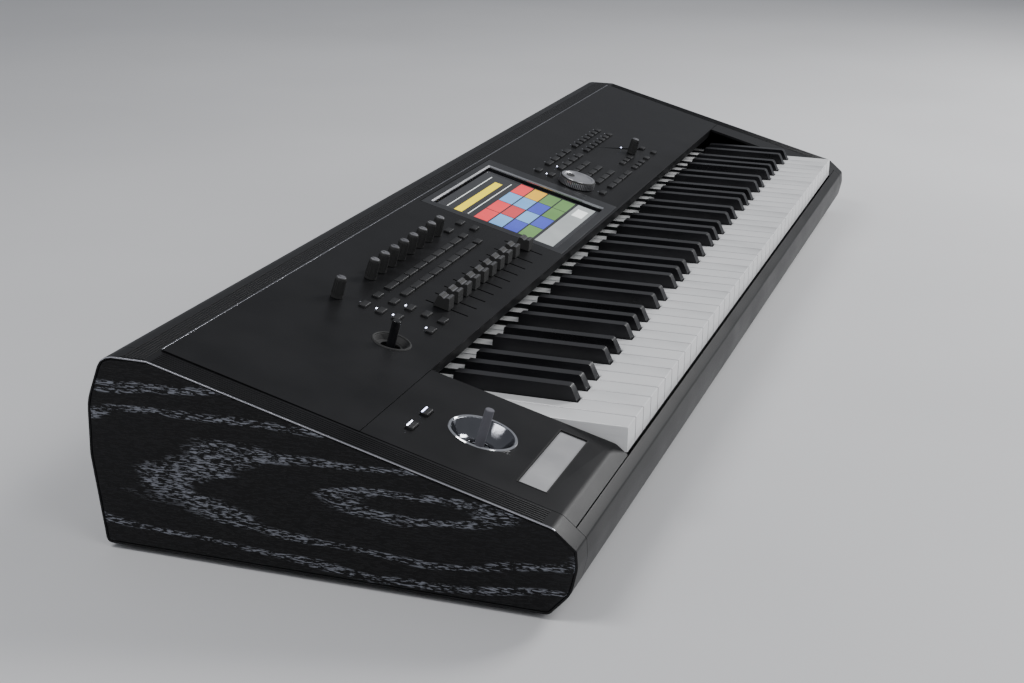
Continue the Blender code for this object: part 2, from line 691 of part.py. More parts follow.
for number in (0, 1):
    mode_singles += row(LOW_BANK_U, row_v(number), 3, BANK_PITCH, BANK_WIDTH)
    mode_singles.append(panel_button(LOW_BANK_U + LAST_BANK_REACH, row_v(number), BANK_WIDTH))
mode_singles.append(panel_button(TEMPO_U, row_v(0), BANK_WIDTH))

panel_outline = [
    (0.0, 0.0), (PANEL_LENGTH, 0.0), (PANEL_LENGTH, -PANEL_SHEET), (PANEL_SHEET, -PANEL_SHEET),
    (PANEL_SHEET, -PANEL_LIP), (0.0, -PANEL_LIP),
]
control_panel = prism("control_panel", [panel_outline], -pan_x, pan_x, PAINTED, panel_frame)
holes = [window(buttons[0][0], buttons[-1][1]) for buttons in mixer_rows + mode_rows]
holes += [window(*button) for button in mixer_singles + mode_singles]
for u in fader_us + [SLIDER_U]:
    half = FADER_SLOT / 2
    holes.append(((u - half, FADER_FRONT_V, -0.01), (u + half, FADER_REAR_V, 0.01)))
bezel_low = (SCREEN_LEFT - BEZEL_LEFT, SCREEN_FRONT - BEZEL_FRONT)
bezel_high = (SCREEN_RIGHT + BEZEL_RIGHT, SCREEN_REAR + BEZEL_REAR)
holes.append(window(bezel_low, bezel_high))
operate(control_panel, boxes("panel_windows", holes, parent=panel_frame))
shafts = [(u, KNOB_V) for u in knob_us] + [(VOLUME_U, VOLUME_V), (TEMPO_U, TEMPO_V), (DIAL_U, DIAL_V)]
operate(control_panel, discs("shaft_holes", shafts, SHAFT_RADIUS + FIT_GAP, -0.01, 0.01,
                             parent=panel_frame))
operate(control_panel, discs("vector_hole", [(VECTOR_U, VECTOR_V)], VECTOR_RADIUS + FIT_GAP, -0.01,
                             0.01, parent=panel_frame, sides=24))

# Display
bezel = boxes("display_bezel", [((*bezel_low, -BEZEL_DEPTH), (*bezel_high, 0.0))], GREY_METAL,
              panel_frame)
screen_low = (SCREEN_LEFT, SCREEN_FRONT)
screen_high = (SCREEN_RIGHT, SCREEN_REAR)
operate(bezel, boxes("screen_opening", [window(screen_low, screen_high)], parent=panel_frame))
boxes("touch_screen", [((*screen_low, -SCREEN_DEPTH - SCREEN_THICKNESS),
                        (*screen_high, -SCREEN_DEPTH))], GLASS, panel_frame)


# Buttons
def button_mat(name, outline, buttons, material=BUTTON):
    """Buttons moulded on one rubber mat that lies under the panel."""
    mat = prism(name, [outline], -BUTTON_SINK - MAT, -BUTTON_SINK, material, panel_frame, None)
    operate(mat, boxes(name + "_caps", buttons, parent=panel_frame, edge=0.0005), "UNION")
    return mat


mixer_left = PAGE_U - BUTTON_WIDTH / 2 - MAT_BORDER / 2
mixer_neck = SELECT_U + BUTTON_WIDTH / 2 + MAT_BORDER / 2
mixer_right = RESET_U + BUTTON_WIDTH / 2 + MAT_BORDER / 2
mat_front = row_v(0) - MAT_BORDER
mixer_outline = [
    (mixer_left, mat_front), (mixer_neck, mat_front), (mixer_neck, row_v(3) - MAT_BORDER),
    (mixer_right, row_v(3) - MAT_BORDER), (mixer_right, row_v(5) + MAT_BORDER / 2),
    (MUTE_U - MAT_BORDER, row_v(5) + MAT_BORDER / 2), (MUTE_U - MAT_BORDER, row_v(4) + MAT_BORDER),
    (mixer_left, row_v(4) + MAT_BORDER),
]
button_mat("mixer_buttons", mixer_outline, sum(mixer_rows, []) + mixer_singles)
mode_left = EXIT_U - BUTTON_WIDTH / 2 - MAT_BORDER / 2
mode_neck = MODE_U - KNOB_PITCH / 2
tempo_reach = SHAFT_RADIUS + MAT_BORDER
bank_right = BANK_U + 6.5 * BANK_PITCH
mode_outline = [
    (mode_left, mat_front), (bank_right, mat_front), (bank_right, row_v(5) + MAT_BORDER),
    (mode_left, row_v(5) + MAT_BORDER), (mode_left, DIAL_V + DIAL_RADIUS), (mode_neck, DIAL_V + DIAL_RADIUS),
    (mode_neck, DIAL_V - DIAL_RADIUS), (mode_left, DIAL_V - DIAL_RADIUS),
]
mode_buttons = button_mat("mode_buttons", mode_outline, sum(mode_rows, []) + mode_singles)
operate(mode_buttons, discs("tempo_clearance", [(TEMPO_U, TEMPO_V)], tempo_reach, -0.01, 0.01,
                            parent=panel_frame))

# Knobs
knob_profile = [
    (0.0, KNOB_HEIGHT), (KNOB_TOP_RADIUS - 0.0006, KNOB_HEIGHT), (KNOB_TOP_RADIUS, KNOB_HEIGHT - 0.0006),
    (KNOB_RADIUS, 0.0008), (KNOB_RADIUS, FIT_GAP), (SHAFT_RADIUS, FIT_GAP), (SHAFT_RADIUS, -SHAFT_LENGTH),
    (0.0, -SHAFT_LENGTH),
]
knobs = [(f"realtime_knob_{index + 1}", u, KNOB_V) for index, u in enumerate(knob_us)]
knobs += [("volume_knob", VOLUME_U, VOLUME_V), ("tempo_knob", TEMPO_U, TEMPO_V)]
for name, u, v in knobs:
    turned(name, knob_profile, KNOB, panel_frame, (u, v, 0.0), 12)
dial_profile = [
    (0.0, DIAL_HEIGHT - 0.0010), (DIAL_RADIUS - 0.0035, DIAL_HEIGHT - 0.0010),
    (DIAL_RADIUS - 0.0025, DIAL_HEIGHT), (DIAL_RADIUS - 0.0010, DIAL_HEIGHT),
    (DIAL_RADIUS, DIAL_HEIGHT - 0.0012), (DIAL_RADIUS, FIT_GAP), (SHAFT_RADIUS, FIT_GAP),
    (SHAFT_RADIUS, -SHAFT_LENGTH), (0.0, -SHAFT_LENGTH),
]
turned("value_dial", dial_profile, KNOB, panel_frame, (DIAL_U, DIAL_V, 0.0), 32)

# Faders
cap_half = CAP_LENGTH / 2
cap_outline = [
    (-cap_half, 0.0005), (cap_half, 0.0005), (cap_half - 0.0020, CAP_HEIGHT), (0.0022, CAP_HEIGHT),
    (0.0, CAP_HEIGHT - 0.0014), (-0.0022, CAP_HEIGHT), (-cap_half + 0.0020, CAP_HEIGHT),
]
stem_corners = ((-STEM_WIDTH / 2, -STEM_LENGTH / 2, -STEM_DEPTH), (STEM_WIDTH / 2, STEM_LENGTH / 2, 0.0010))
faders = [(f"fader_{index + 1}", u, FADER_REST_V) for index, u in enumerate(fader_us)]
faders.append(("value_slider", SLIDER_U, SLIDER_REST_V))
for name, u, v in faders:
    cap = prism(name, [cap_outline], -CAP_WIDTH / 2, CAP_WIDTH / 2, KNOB, panel_frame)
    cap.location = (u, v, 0.0)
    stem = boxes(name + "_stem", [stem_corners], parent=panel_frame, location=(u, v, 0.0))
    operate(cap, stem, "UNION")


# Joysticks
def make_joystick(name, dish_name, u, v, radius, depth, floor_hole, pivot, gimbal, height, finishes):
    """A stick that tilts both ways: the dish carries a gimbal ring, and the ring the stick."""
    collar = gimbal + 0.0020
    low = -pivot - 0.0060
    dish = [
        (radius, 0.0), (radius, -DISH_WALL), (radius - depth / 2, -depth),
        (collar + DISH_WALL, -depth - DISH_WALL),
        (collar + DISH_WALL, low), (collar, low), (collar, -depth - DISH_WALL),
        (floor_hole, -depth - DISH_WALL),
        (floor_hole, -depth), (collar, -depth), (radius - depth / 2 - DISH_WALL, -depth * 0.8),
        (radius - DISH_WALL, 0.0),
    ]
    turned(dish_name, dish, finishes[0], panel_frame, (u, v, 0.0), 32, True)
    half = gimbal / 4
    bore = gimbal - 0.0026
    ring = [(gimbal, half), (gimbal, -half), (bore, -half), (bore, half)]
    place = (u, v, -pivot)
    cradle = turned(name + "_gimbal", ring, STEEL, panel_frame, place, 20, True)
    pins = discs(name + "_trunnions", [(0, 0)], CROSS_PIN_RADIUS, gimbal - 0.001, collar - FIT_GAP,
                 parent=panel_frame, sides=8)
    pins.location = place
    pins.rotation_euler = (0.0, math.radians(90), 0.0)
    operate(cradle, pins, "UNION")
    pins = discs(name + "_far_trunnions", [(0, 0)], CROSS_PIN_RADIUS, gimbal - 0.001, collar - FIT_GAP,
                 parent=panel_frame, sides=8)
    pins.location = place
    pins.rotation_euler = (0.0, math.radians(-90), 0.0)
    operate(cradle, pins, "UNION")
    reach = height + pivot
    shaft = [
        (0.0, reach), (STICK_RADIUS - 0.0006, reach), (STICK_RADIUS, reach - 0.0006),
        (STICK_RADIUS, -STICK_TAIL), (0.0, -STICK_TAIL),
    ]
    stick = turned(name + "_stick", shaft, finishes[1], panel_frame, place, 16)
    cross = discs(name + "_cross_pin", [(0, 0)], CROSS_PIN_RADIUS, FIT_GAP - bore, bore - FIT_GAP,
                  parent=panel_frame, sides=8)
    cross.location = place
    cross.rotation_euler = (math.radians(90), 0.0, 0.0)
    operate(stick, cross, "UNION")


make_joystick("joystick", "joystick_bowl", JOY_U, JOY_V, JOY_RADIUS, JOY_DEPTH, JOY_FLOOR_HOLE,
              JOY_PIVOT_DEPTH, JOY_GIMBAL_RADIUS, JOY_HEIGHT, (CHROME, STICK))
make_joystick("vector", "vector_ring", VECTOR_U, VECTOR_V, VECTOR_RADIUS, VECTOR_DEPTH, VECTOR_FLOOR_HOLE,
              VECTOR_PIVOT_DEPTH, VECTOR_GIMBAL_RADIUS, VECTOR_HEIGHT, (KNOB, EBONY))

# Ribbon, joystick hole and assignable switches in the left block
operate(block, discs("joystick_hole", [(JOY_U, JOY_V)], JOY_RADIUS + FIT_GAP, -0.01, 0.01,
                     parent=panel_frame, sides=32))
ribbon_low = (RIBBON_LEFT, RIBBON_FRONT_V)
ribbon_high = (RIBBON_RIGHT, RIBBON_REAR_V)
operate(block, boxes("ribbon_opening", [window(ribbon_low, ribbon_high)], parent=panel_frame))
boxes("ribbon_pad", [((*ribbon_low, -BLOCK_SHEET - 0.001), (*ribbon_high, -RIBBON_DEPTH))], PAD, panel_frame)
switches = [panel_button(u, SWITCH_V) for u in SWITCH_U]
operate(block, boxes("switch_openings", [window(*switch) for switch in switches], parent=panel_frame))
switch_outline = [
    (SWITCH_U[0] - MAT_BORDER - 0.003, SWITCH_V - MAT_BORDER),
    (SWITCH_U[1] + MAT_BORDER + 0.003, SWITCH_V - MAT_BORDER),
    (SWITCH_U[1] + MAT_BORDER + 0.003, SWITCH_V + MAT_BORDER),
    (SWITCH_U[0] - MAT_BORDER - 0.003, SWITCH_V + MAT_BORDER),
]
button_mat("assign_switches", switch_outline, switches)


# Keys
BLACK_SLOT = BLACK_WIDTH + 2 * KEY_GAP
GROUP_OF_LETTER = {0: (0, 3), 1: (1, 3), 2: (2, 3), 3: (0, 4), 4: (1, 4), 5: (2, 4), 6: (3, 4)}


def letter(index):
    """Letter of a white key counted from the lowest, with C as 0: the lowest key is an E."""
    return (index + 2) % OCTAVE


def tail_edges(index):
    """Left and right edge of a white key's narrow part behind the black keys' fronts."""
    place, size = GROUP_OF_LETTER[letter(index)]
    width = (size * WHITE_PITCH - (size - 1) * BLACK_SLOT) / size
    group_left = FIRST_KEY_X + (index - place) * WHITE_PITCH
    left = group_left + place * (width + BLACK_SLOT)
    right = left + width
    if place == 0 or index == 0:
        left = FIRST_KEY_X + index * WHITE_PITCH + KEY_GAP / 2
    if place == size - 1 or index == WHITE_COUNT - 1:
        right = FIRST_KEY_X + (index + 1) * WHITE_PITCH - KEY_GAP / 2
    return left, right


def white_outline(index):
    """Plan of a white key: wide in front, narrow between the black keys."""
    left = FIRST_KEY_X + index * WHITE_PITCH + KEY_GAP / 2
    right = left + WHITE_PITCH - KEY_GAP
    tail_left, tail_right = tail_edges(index)
    shoulder = KEY_FRONT_Y + WHITE_FRONT_LENGTH
    end = KEY_FRONT_Y + KEY_TAIL_Y + KEY_TAIL_OVERLAP
    plan = [(left, KEY_FRONT_Y), (right, KEY_FRONT_Y)]
    if tail_right < right:
        plan += [(right, shoulder), (tail_right, shoulder)]
    plan += [(tail_right, end), (tail_left, end)]
    if tail_left > left:
        plan += [(tail_left, shoulder), (left, shoulder)]
    return plan


def soften_top(piece, height, width):
    """Round the upper edges of a part whose top lies at a given height."""
    shape = bmesh.new()
    shape.from_mesh(piece.data)
    rim = [side for side in shape.edges
           if all(abs(end.co.z - height) < 0.00001 for end in side.verts)
           and side.calc_face_angle(0.0) > 0.5]
    bmesh.ops.bevel(shape, geom=rim, offset=width, segments=1, affect="EDGES", profile=0.5)
    shape.to_mesh(piece.data)
    shape.free()


def bar_cutter(name, low_y, high_y, low_z, high_z):
    """A box along all the keys, given from the key front and the key top."""
    return boxes(name, [((FIRST_KEY_X - 0.01, KEY_FRONT_Y + low_y, KEY_TOP_Z + low_z),
                         (KEYS_RIGHT_X + 0.01, KEY_FRONT_Y + high_y, KEY_TOP_Z + high_z))])


bar_end_y = KEY_TAIL_Y + BAR_LENGTH
under_keys = bar_cutter("under_white_keys", WHITE_SKIRT, 0.240, -0.030, -WHITE_THICKNESS)
over_tails = bar_cutter("over_white_tails", KEY_TAIL_Y, 0.240, -WHITE_BAR_TOP, 0.010)
rod_half = PIVOT_ROD_RADIUS + FIT_GAP
rod_slot = bar_cutter("rod_slot", KEY_PIVOT_Y - rod_half, KEY_PIVOT_Y + rod_half, -0.030,
                      rod_half - KEY_PIVOT_DROP)


def make_white_set(number):
    """The white keys from one E up to the next D, moulded on one hinge bar."""
    first = number * OCTAVE
    last = WHITE_COUNT if number == SET_COUNT - 1 else first + OCTAVE
    outlines = [white_outline(index) for index in range(first, last)]
    keys = prism(f"white_keys_{number + 1}", outlines, KEY_TOP_Z - WHITE_FRONT_HEIGHT, KEY_TOP_Z, IVORY,
                 turn=None)
    soften_top(keys, KEY_TOP_Z, WHITE_EDGE)
    operate(keys, under_keys)
    operate(keys, over_tails)
    bar = boxes(f"white_bar_{number + 1}", [(
        (tail_edges(first)[0], KEY_FRONT_Y + KEY_TAIL_Y + 0.0003, KEY_TOP_Z - WHITE_THICKNESS),
        (tail_edges(last - 1)[1], KEY_FRONT_Y + bar_end_y, KEY_TOP_Z - WHITE_BAR_TOP))])
    operate(keys, bar, "UNION")
    operate(keys, rod_slot)
    keys.parent = key_frame
    keys.location = -key_frame.location


black_low = -WHITE_THICKNESS
shank_end = KEY_TAIL_Y - 0.0005
bar_start = KEY_TAIL_Y + BLACK_BAR_SETBACK
black_profile = [
    (WHITE_FRONT_LENGTH + KEY_GAP, black_low), (shank_end, black_low), (shank_end, -BLACK_BAR_LOW),
    (bar_start + 0.001, -BLACK_BAR_LOW), (bar_start + 0.001, BLACK_SHANK_TOP),
    (BLACK_REAR_Y + 0.001, BLACK_SHANK_TOP), (BLACK_REAR_Y, BLACK_HEIGHT - 0.001),
    (BLACK_REAR_Y - 0.001, BLACK_HEIGHT),
    (WHITE_FRONT_LENGTH + KEY_GAP + BLACK_SLOPE + 0.002, BLACK_HEIGHT),
    (WHITE_FRONT_LENGTH + KEY_GAP + BLACK_SLOPE, BLACK_HEIGHT - 0.0012),
    (WHITE_FRONT_LENGTH + KEY_GAP, BLACK_SHANK_TOP),
]


def make_black_set(number):
    """The five black keys between one E and the next D sharp, moulded on one hinge bar."""
    name = f"black_keys_{number + 1}"
    first = number * OCTAVE
    shape = bmesh.new()
    edges = []
    for index in range(first, first + OCTAVE):
        if letter(index) in (2, 6):
            continue
        left = tail_edges(index)[1] + KEY_GAP
        edges += [left, left + BLACK_WIDTH]
        outline = [(KEY_FRONT_Y + y, KEY_TOP_Z + z) for y, z in black_profile]
        key = prism("key", [outline], left, left + BLACK_WIDTH)
        middle = left + BLACK_WIDTH / 2
        for point in key.data.vertices:
            if point.co.z > KEY_TOP_Z + 0.005:
                point.co.x = middle + (point.co.x - middle) * BLACK_TOP_WIDTH / BLACK_WIDTH
        shape.from_mesh(key.data)
        bpy.data.objects.remove(key, do_unlink=True)
    mesh = bpy.data.meshes.new(name)
    shape.to_mesh(mesh)
    shape.free()
    keys = add(name, mesh, EBONY, key_frame, -key_frame.location)
    bar = boxes(f"black_bar_{number + 1}", [(
        (min(edges) + 0.0002, KEY_FRONT_Y + bar_start, KEY_TOP_Z - BLACK_BAR_LOW),
        (max(edges) - 0.0002, KEY_FRONT_Y + bar_end_y, KEY_TOP_Z + BLACK_SHANK_TOP - 0.0002))])
    operate(keys, bar, "UNION")


for number in range(SET_COUNT):
    make_white_set(number)
    make_black_set(number)
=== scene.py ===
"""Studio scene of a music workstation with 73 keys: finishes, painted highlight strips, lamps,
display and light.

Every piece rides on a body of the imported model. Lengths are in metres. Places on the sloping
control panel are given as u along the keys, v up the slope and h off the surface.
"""
from __future__ import annotations

import json
import logging
import math
from dataclasses import dataclass
from enum import Enum

import bmesh
import bpy
from mathutils import Matrix, Vector


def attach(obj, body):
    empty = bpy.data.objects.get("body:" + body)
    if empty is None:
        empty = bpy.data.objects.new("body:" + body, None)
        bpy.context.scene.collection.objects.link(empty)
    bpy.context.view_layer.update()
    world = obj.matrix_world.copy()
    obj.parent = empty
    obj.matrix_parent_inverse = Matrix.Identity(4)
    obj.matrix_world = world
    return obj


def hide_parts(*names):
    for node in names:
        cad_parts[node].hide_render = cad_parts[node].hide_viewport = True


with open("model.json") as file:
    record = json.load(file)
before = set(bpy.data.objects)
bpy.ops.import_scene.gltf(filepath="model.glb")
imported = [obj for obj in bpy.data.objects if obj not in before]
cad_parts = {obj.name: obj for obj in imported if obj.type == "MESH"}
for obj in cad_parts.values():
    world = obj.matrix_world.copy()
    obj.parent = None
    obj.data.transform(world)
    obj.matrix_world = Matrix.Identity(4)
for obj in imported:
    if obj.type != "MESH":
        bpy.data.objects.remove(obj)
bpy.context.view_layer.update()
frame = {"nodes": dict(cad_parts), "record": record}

LOG = logging.getLogger("workstation")
Colour = tuple[float, float, float]
Spot = tuple[float, float, float]
Box = tuple[Spot, Spot]
Line = tuple[tuple[float, float], ...]

SLOPE = math.radians(15.16)
PANEL = Matrix.Translation((0.0, -0.01605, 0.1056)) @ Matrix.Rotation(SLOPE, 4, "X")
BODY_OF = {node: body for body, nodes in frame["record"]["behaviour"]["bodies"].items()
           for node in nodes}
SHARP_ANGLE = math.radians(38)
FLAT_ANGLE = math.radians(0.6)
NODE_MERGE = 0.000004
LATHE_MERGE = 0.000002
COAT_ROUGHNESS = 0.05
CLOUD_RANGE = (0.35, 0.65)
ROUGHNESS_RANGE = (0.3, 0.7)
HIGHLIGHT_STRIP_BEVEL = 0.0001
SMALL_EDGE = 0.0002
PART_EDGE = 0.0003
SHEET_EDGE = 0.0004
CASTING_EDGE = 0.0005
BEZEL_EDGE = 0.0006
WOOD_EDGE = 0.0008


class Side(Enum):
    """The two ends of the casing, by the sign of their X."""

    LEFT = -1
    RIGHT = 1


def shared_grain() -> bpy.types.NodeTree:
    """Fine moulding grain and cloudy variation, shared by the finishes.

    Returns:
        The node group, made on its first use.
    """
    tree = bpy.data.node_groups.get("surface_grain")
    if tree:
        return tree
    tree = bpy.data.node_groups.new("surface_grain", "ShaderNodeTree")
    entry = tree.nodes.new("NodeGroupInput")
    leave = tree.nodes.new("NodeGroupOutput")
    place = tree.nodes.new("ShaderNodeTexCoord")
    for label, detail in (("Grain", 2.0), ("Cloud", 5.0)):
        tree.interface.new_socket(label + " Scale", in_out="INPUT", socket_type="NodeSocketFloat")
        tree.interface.new_socket(label, in_out="OUTPUT", socket_type="NodeSocketFloat")
        noise = tree.nodes.new("ShaderNodeTexNoise")
        noise.inputs["Detail"].default_value = detail
        tree.links.new(place.outputs["Object"], noise.inputs["Vector"])
        tree.links.new(entry.outputs[label + " Scale"], noise.inputs["Scale"])
        tree.links.new(noise.outputs["Fac"], leave.inputs[label])
    return tree


@dataclass(frozen=True)
class Finish:
    """A surface of two close tones with a roughness range and a fine relief."""

    name: str
    dark: Colour
    light: Colour
    roughness: tuple[float, float] = (0.40, 0.50)
    metallic: float = 0.0
    coat: float = 0.0
    grain: float = 1400.0
    cloud: float = 18.0
    relief: float = 0.00003
    gloss: float = 0.5

    def start(self) -> tuple[bpy.types.Material, bpy.types.Node]:
        """Make the material with the values that are the same all over.

        Returns:
            The material and its Principled shader.
        """
        material = bpy.data.materials.new(self.name)
        material.use_nodes = True
        shader = material.node_tree.nodes["Principled BSDF"]
        shader.inputs["Metallic"].default_value = self.metallic
        shader.inputs["Coat Weight"].default_value = self.coat
        shader.inputs["Coat Roughness"].default_value = COAT_ROUGHNESS
        shader.inputs["Specular IOR Level"].default_value = self.gloss
        return material, shader

    def ramp(self, tree: bpy.types.NodeTree, low: float, high: float) -> bpy.types.Node:
        """Place a ramp from the dark to the light tone.

        Args:
            tree: The material's nodes.
            low: Value at which the dark tone ends.
            high: Value at which the light tone starts.

        Returns:
            The colour ramp.
        """
        node = tree.nodes.new("ShaderNodeValToRGB")
        tones = (self.dark, self.light)
        for stop, place, tone in zip(node.color_ramp.elements, (low, high), tones):
            stop.position = place
            stop.color = (*tone, 1.0)
        return node

    def rough(self, tree: bpy.types.NodeTree, source: bpy.types.NodeSocket,
              shader: bpy.types.Node) -> None:
        """Let a mask drive the roughness over its range.

        Args:
            tree: The material's nodes.
            source: The mask.
            shader: The Principled shader.
        """
        spread = tree.nodes.new("ShaderNodeMapRange")
        spread.inputs["From Min"].default_value = ROUGHNESS_RANGE[0]
        spread.inputs["From Max"].default_value = ROUGHNESS_RANGE[1]
        spread.inputs["To Min"].default_value = self.roughness[0]
        spread.inputs["To Max"].default_value = self.roughness[1]
        tree.links.new(source, spread.inputs["Value"])
        tree.links.new(spread.outputs["Result"], shader.inputs["Roughness"])

    def emboss(self, tree: bpy.types.NodeTree, source: bpy.types.NodeSocket,
               shader: bpy.types.Node) -> None:
        """Let a mask raise the surface by the finish's relief.

        Args:
            tree: The material's nodes.
            source: The height mask.
            shader: The Principled shader.
        """
        bump = tree.nodes.new("ShaderNodeBump")
        bump.inputs["Distance"].default_value = self.relief
        tree.links.new(source, bump.inputs["Height"])
        tree.links.new(bump.outputs["Normal"], shader.inputs["Normal"])

    def material(self) -> bpy.types.Material:
        """Make the material on its first use.

        Returns:
            The material.
        """
        found = bpy.data.materials.get(self.name)
        if found:
            return found
        material, shader = self.start()
        tree = material.node_tree
        grain = tree.nodes.new("ShaderNodeGroup")
        grain.node_tree = shared_grain()
        grain.inputs["Grain Scale"].default_value = self.grain
        grain.inputs["Cloud Scale"].default_value = self.cloud
        tone = self.ramp(tree, *CLOUD_RANGE)
        tree.links.new(grain.outputs["Cloud"], tone.inputs["Fac"])
        tree.links.new(tone.outputs["Color"], shader.inputs["Base Color"])
        self.rough(tree, grain.outputs["Cloud"], shader)
        self.emboss(tree, grain.outputs["Grain"], shader)
        return material


@dataclass(frozen=True)
class StainedAsh(Finish):
    """Black stained ash whose open pores show as pale cathedral streaks."""

    rings: float = 15.0
    waviness: float = 6.5
    heart: Spot = (0.0, 0.010, -0.064)
    ring_stretch: float = 0.17
    ring_detail: float = 3.0
    ring_detail_scale: float = 1.6
    ring_range: tuple[float, float] = (0.70, 1.0)
    between_rings: float = 0.07
    pore_stretch: float = 0.13
    pore_detail: float = 4.0
    pore_range: tuple[float, float] = (0.50, 0.60)
    tone_range: tuple[float, float] = (0.05, 0.75)

    def material(self) -> bpy.types.Material:
        """Make the wood on its first use.

        Returns:
            The material.
        """
        found = bpy.data.materials.get(self.name)
        if found:
            return found
        material, shader = self.start()
        tree = material.node_tree
        place = tree.nodes.new("ShaderNodeTexCoord")
        masks = []
        for stretch, kind in ((self.ring_stretch, "ShaderNodeTexWave"),
                              (self.pore_stretch, "ShaderNodeTexNoise")):
            turn = tree.nodes.new("ShaderNodeMapping")
            turn.inputs["Scale"].default_value = (1.0, stretch, 1.0)
            figure = tree.nodes.new(kind)
            tree.links.new(place.outputs["Object"], turn.inputs["Vector"])
            tree.links.new(turn.outputs["Vector"], figure.inputs["Vector"])
            edge = tree.nodes.new("ShaderNodeMapRange")
            edge.interpolation_type = "SMOOTHSTEP"
            tree.links.new(figure.outputs["Fac"], edge.inputs["Value"])
            masks.append((figure, edge))
        wave, band = masks[0]
        wave.wave_type = "RINGS"
        wave.rings_direction = "X"
        wave.inputs["Vector"].links[0].from_node.inputs["Location"].default_value = self.heart
        wave.inputs["Scale"].default_value = self.rings
        wave.inputs["Distortion"].default_value = self.waviness
        wave.inputs["Detail"].default_value = self.ring_detail
        wave.inputs["Detail Scale"].default_value = self.ring_detail_scale
        band.inputs["From Min"].default_value = self.ring_range[0]
        band.inputs["From Max"].default_value = self.ring_range[1]
        band.inputs["To Min"].default_value = self.between_rings
        fibre, pore = masks[1]
        fibre.inputs["Scale"].default_value = self.grain
        fibre.inputs["Detail"].default_value = self.pore_detail
        pore.inputs["From Min"].default_value = self.pore_range[0]
        pore.inputs["From Max"].default_value = self.pore_range[1]
        both = tree.nodes.new("ShaderNodeMath")
        both.operation = "MULTIPLY"
        tree.links.new(band.outputs["Result"], both.inputs[0])
        tree.links.new(pore.outputs["Result"], both.inputs[1])
        tone = self.ramp(tree, *self.tone_range)
        tree.links.new(both.outputs["Value"], tone.inputs["Fac"])
        tree.links.new(tone.outputs["Color"], shader.inputs["Base Color"])
        self.rough(tree, fibre.outputs["Fac"], shader)
        self.emboss(tree, pore.outputs["Result"], shader)
        return material


@dataclass(frozen=True)
class KeyPlastic(Finish):
    """White keys, with painted shade along each gap between keys but not on the row's outer sides.
    """

    first_x: float = -0.455
    pitch: float = 0.0235
    count: int = 43
    gap_shade_share: float = 0.045
    gap_shade_tone: Colour = (0.20, 0.20, 0.22)

    def material(self) -> bpy.types.Material:
        """Make the key plastic on its first use.

        Returns:
            The material.
        """
        found = bpy.data.materials.get(self.name)
        if found:
            return found
        material = super().material()
        tree = material.node_tree
        tone = next(node for node in tree.nodes if node.type == "VALTORGB")
        place = tree.nodes.new("ShaderNodeTexCoord")
        across = tree.nodes.new("ShaderNodeSeparateXYZ")
        tree.links.new(place.outputs["Object"], across.inputs["Vector"])
        value = across.outputs["X"]
        for operation, second in (("SUBTRACT", self.first_x), ("DIVIDE", self.pitch),
                                  ("FRACT", None), ("SUBTRACT", 0.5), ("ABSOLUTE", None)):
            step = tree.nodes.new("ShaderNodeMath")
            step.operation = operation
            tree.links.new(value, step.inputs[0])
            if second is not None:
                step.inputs[1].default_value = second
            value = step.outputs["Value"]
        # painted shade: the colour darkens towards the gap tone near each gap between keys
        edge = tree.nodes.new("ShaderNodeMapRange")
        edge.interpolation_type = "SMOOTHSTEP"
        edge.inputs["From Min"].default_value = 0.5 - self.gap_shade_share
        edge.inputs["From Max"].default_value = 0.5 - self.gap_shade_share / 3
        tree.links.new(value, edge.inputs["Value"])
        inside = tree.nodes.new("ShaderNodeMath")
        inside.operation = "COMPARE"
        inside.inputs[1].default_value = self.first_x + self.count * self.pitch / 2
        inside.inputs[2].default_value = (self.count - 1) * self.pitch / 2
        tree.links.new(across.outputs["X"], inside.inputs[0])
        share = tree.nodes.new("ShaderNodeMath")
        share.operation = "MULTIPLY"
        tree.links.new(edge.outputs["Result"], share.inputs[0])
        tree.links.new(inside.outputs["Value"], share.inputs[1])
        blend = tree.nodes.new("ShaderNodeMix")
        blend.data_type = "RGBA"
        colours = [socket for socket in blend.inputs if socket.type == "RGBA"]
        tree.links.new(share.outputs["Value"], blend.inputs["Factor"])
        tree.links.new(tone.outputs["Color"], colours[0])
        colours[1].default_value = (*self.gap_shade_tone, 1.0)
        result = next(socket for socket in blend.outputs if socket.type == "RGBA")
        tree.links.new(result, tree.nodes["Principled BSDF"].inputs["Base Color"])
        return material


@dataclass(frozen=True)
class Glow(Finish):
    """A lamp, a lit field of the display, and the glowing strips that paint a highlight on the
    assign switches.
    """

    strength: float = 1.0

    def material(self) -> bpy.types.Material:
        """Make the lit surface on its first use.

        Returns:
            The material.
        """
        material = bpy.data.materials.get(self.name)
        if material:
            return material
        material = super().material()
        tree = material.node_tree
        shader = tree.nodes["Principled BSDF"]
        shader.inputs["Emission Strength"].default_value = self.strength
        tone = next(node for node in tree.nodes if node.type == "VALTORGB")
        tree.links.new(tone.outputs["Color"], shader.inputs["Emission Color"])
        return material


PAINT = Finish("satin_black_paint", (0.006, 0.006, 0.0065), (0.011, 0.011, 0.012), (0.36, 0.44),
               relief=0.00005, gloss=0.16)
ASH = StainedAsh("black_stained_ash", (0.0030, 0.0028, 0.0035), (0.21, 0.22, 0.255), (0.30, 0.50),
                 grain=1500.0, relief=-0.00012, gloss=0.22)
# white keys carry painted shade along the gaps between them
WHITE_KEY = KeyPlastic("white_key", (0.82, 0.825, 0.83), (0.87, 0.87, 0.875), (0.18, 0.26),
                       coat=0.3, relief=0.00001)
BLACK_KEY = Finish("black_key", (0.005, 0.005, 0.006), (0.010, 0.010, 0.012), (0.26, 0.34),
                   relief=0.00004, gloss=0.4)
KNOB = Finish("knob_black", (0.007, 0.007, 0.008), (0.014, 0.014, 0.015), (0.34, 0.46),
              gloss=0.3)
RUBBER = Finish("button_rubber", (0.008, 0.008, 0.009), (0.016, 0.016, 0.017), (0.38, 0.50),
                gloss=0.35)
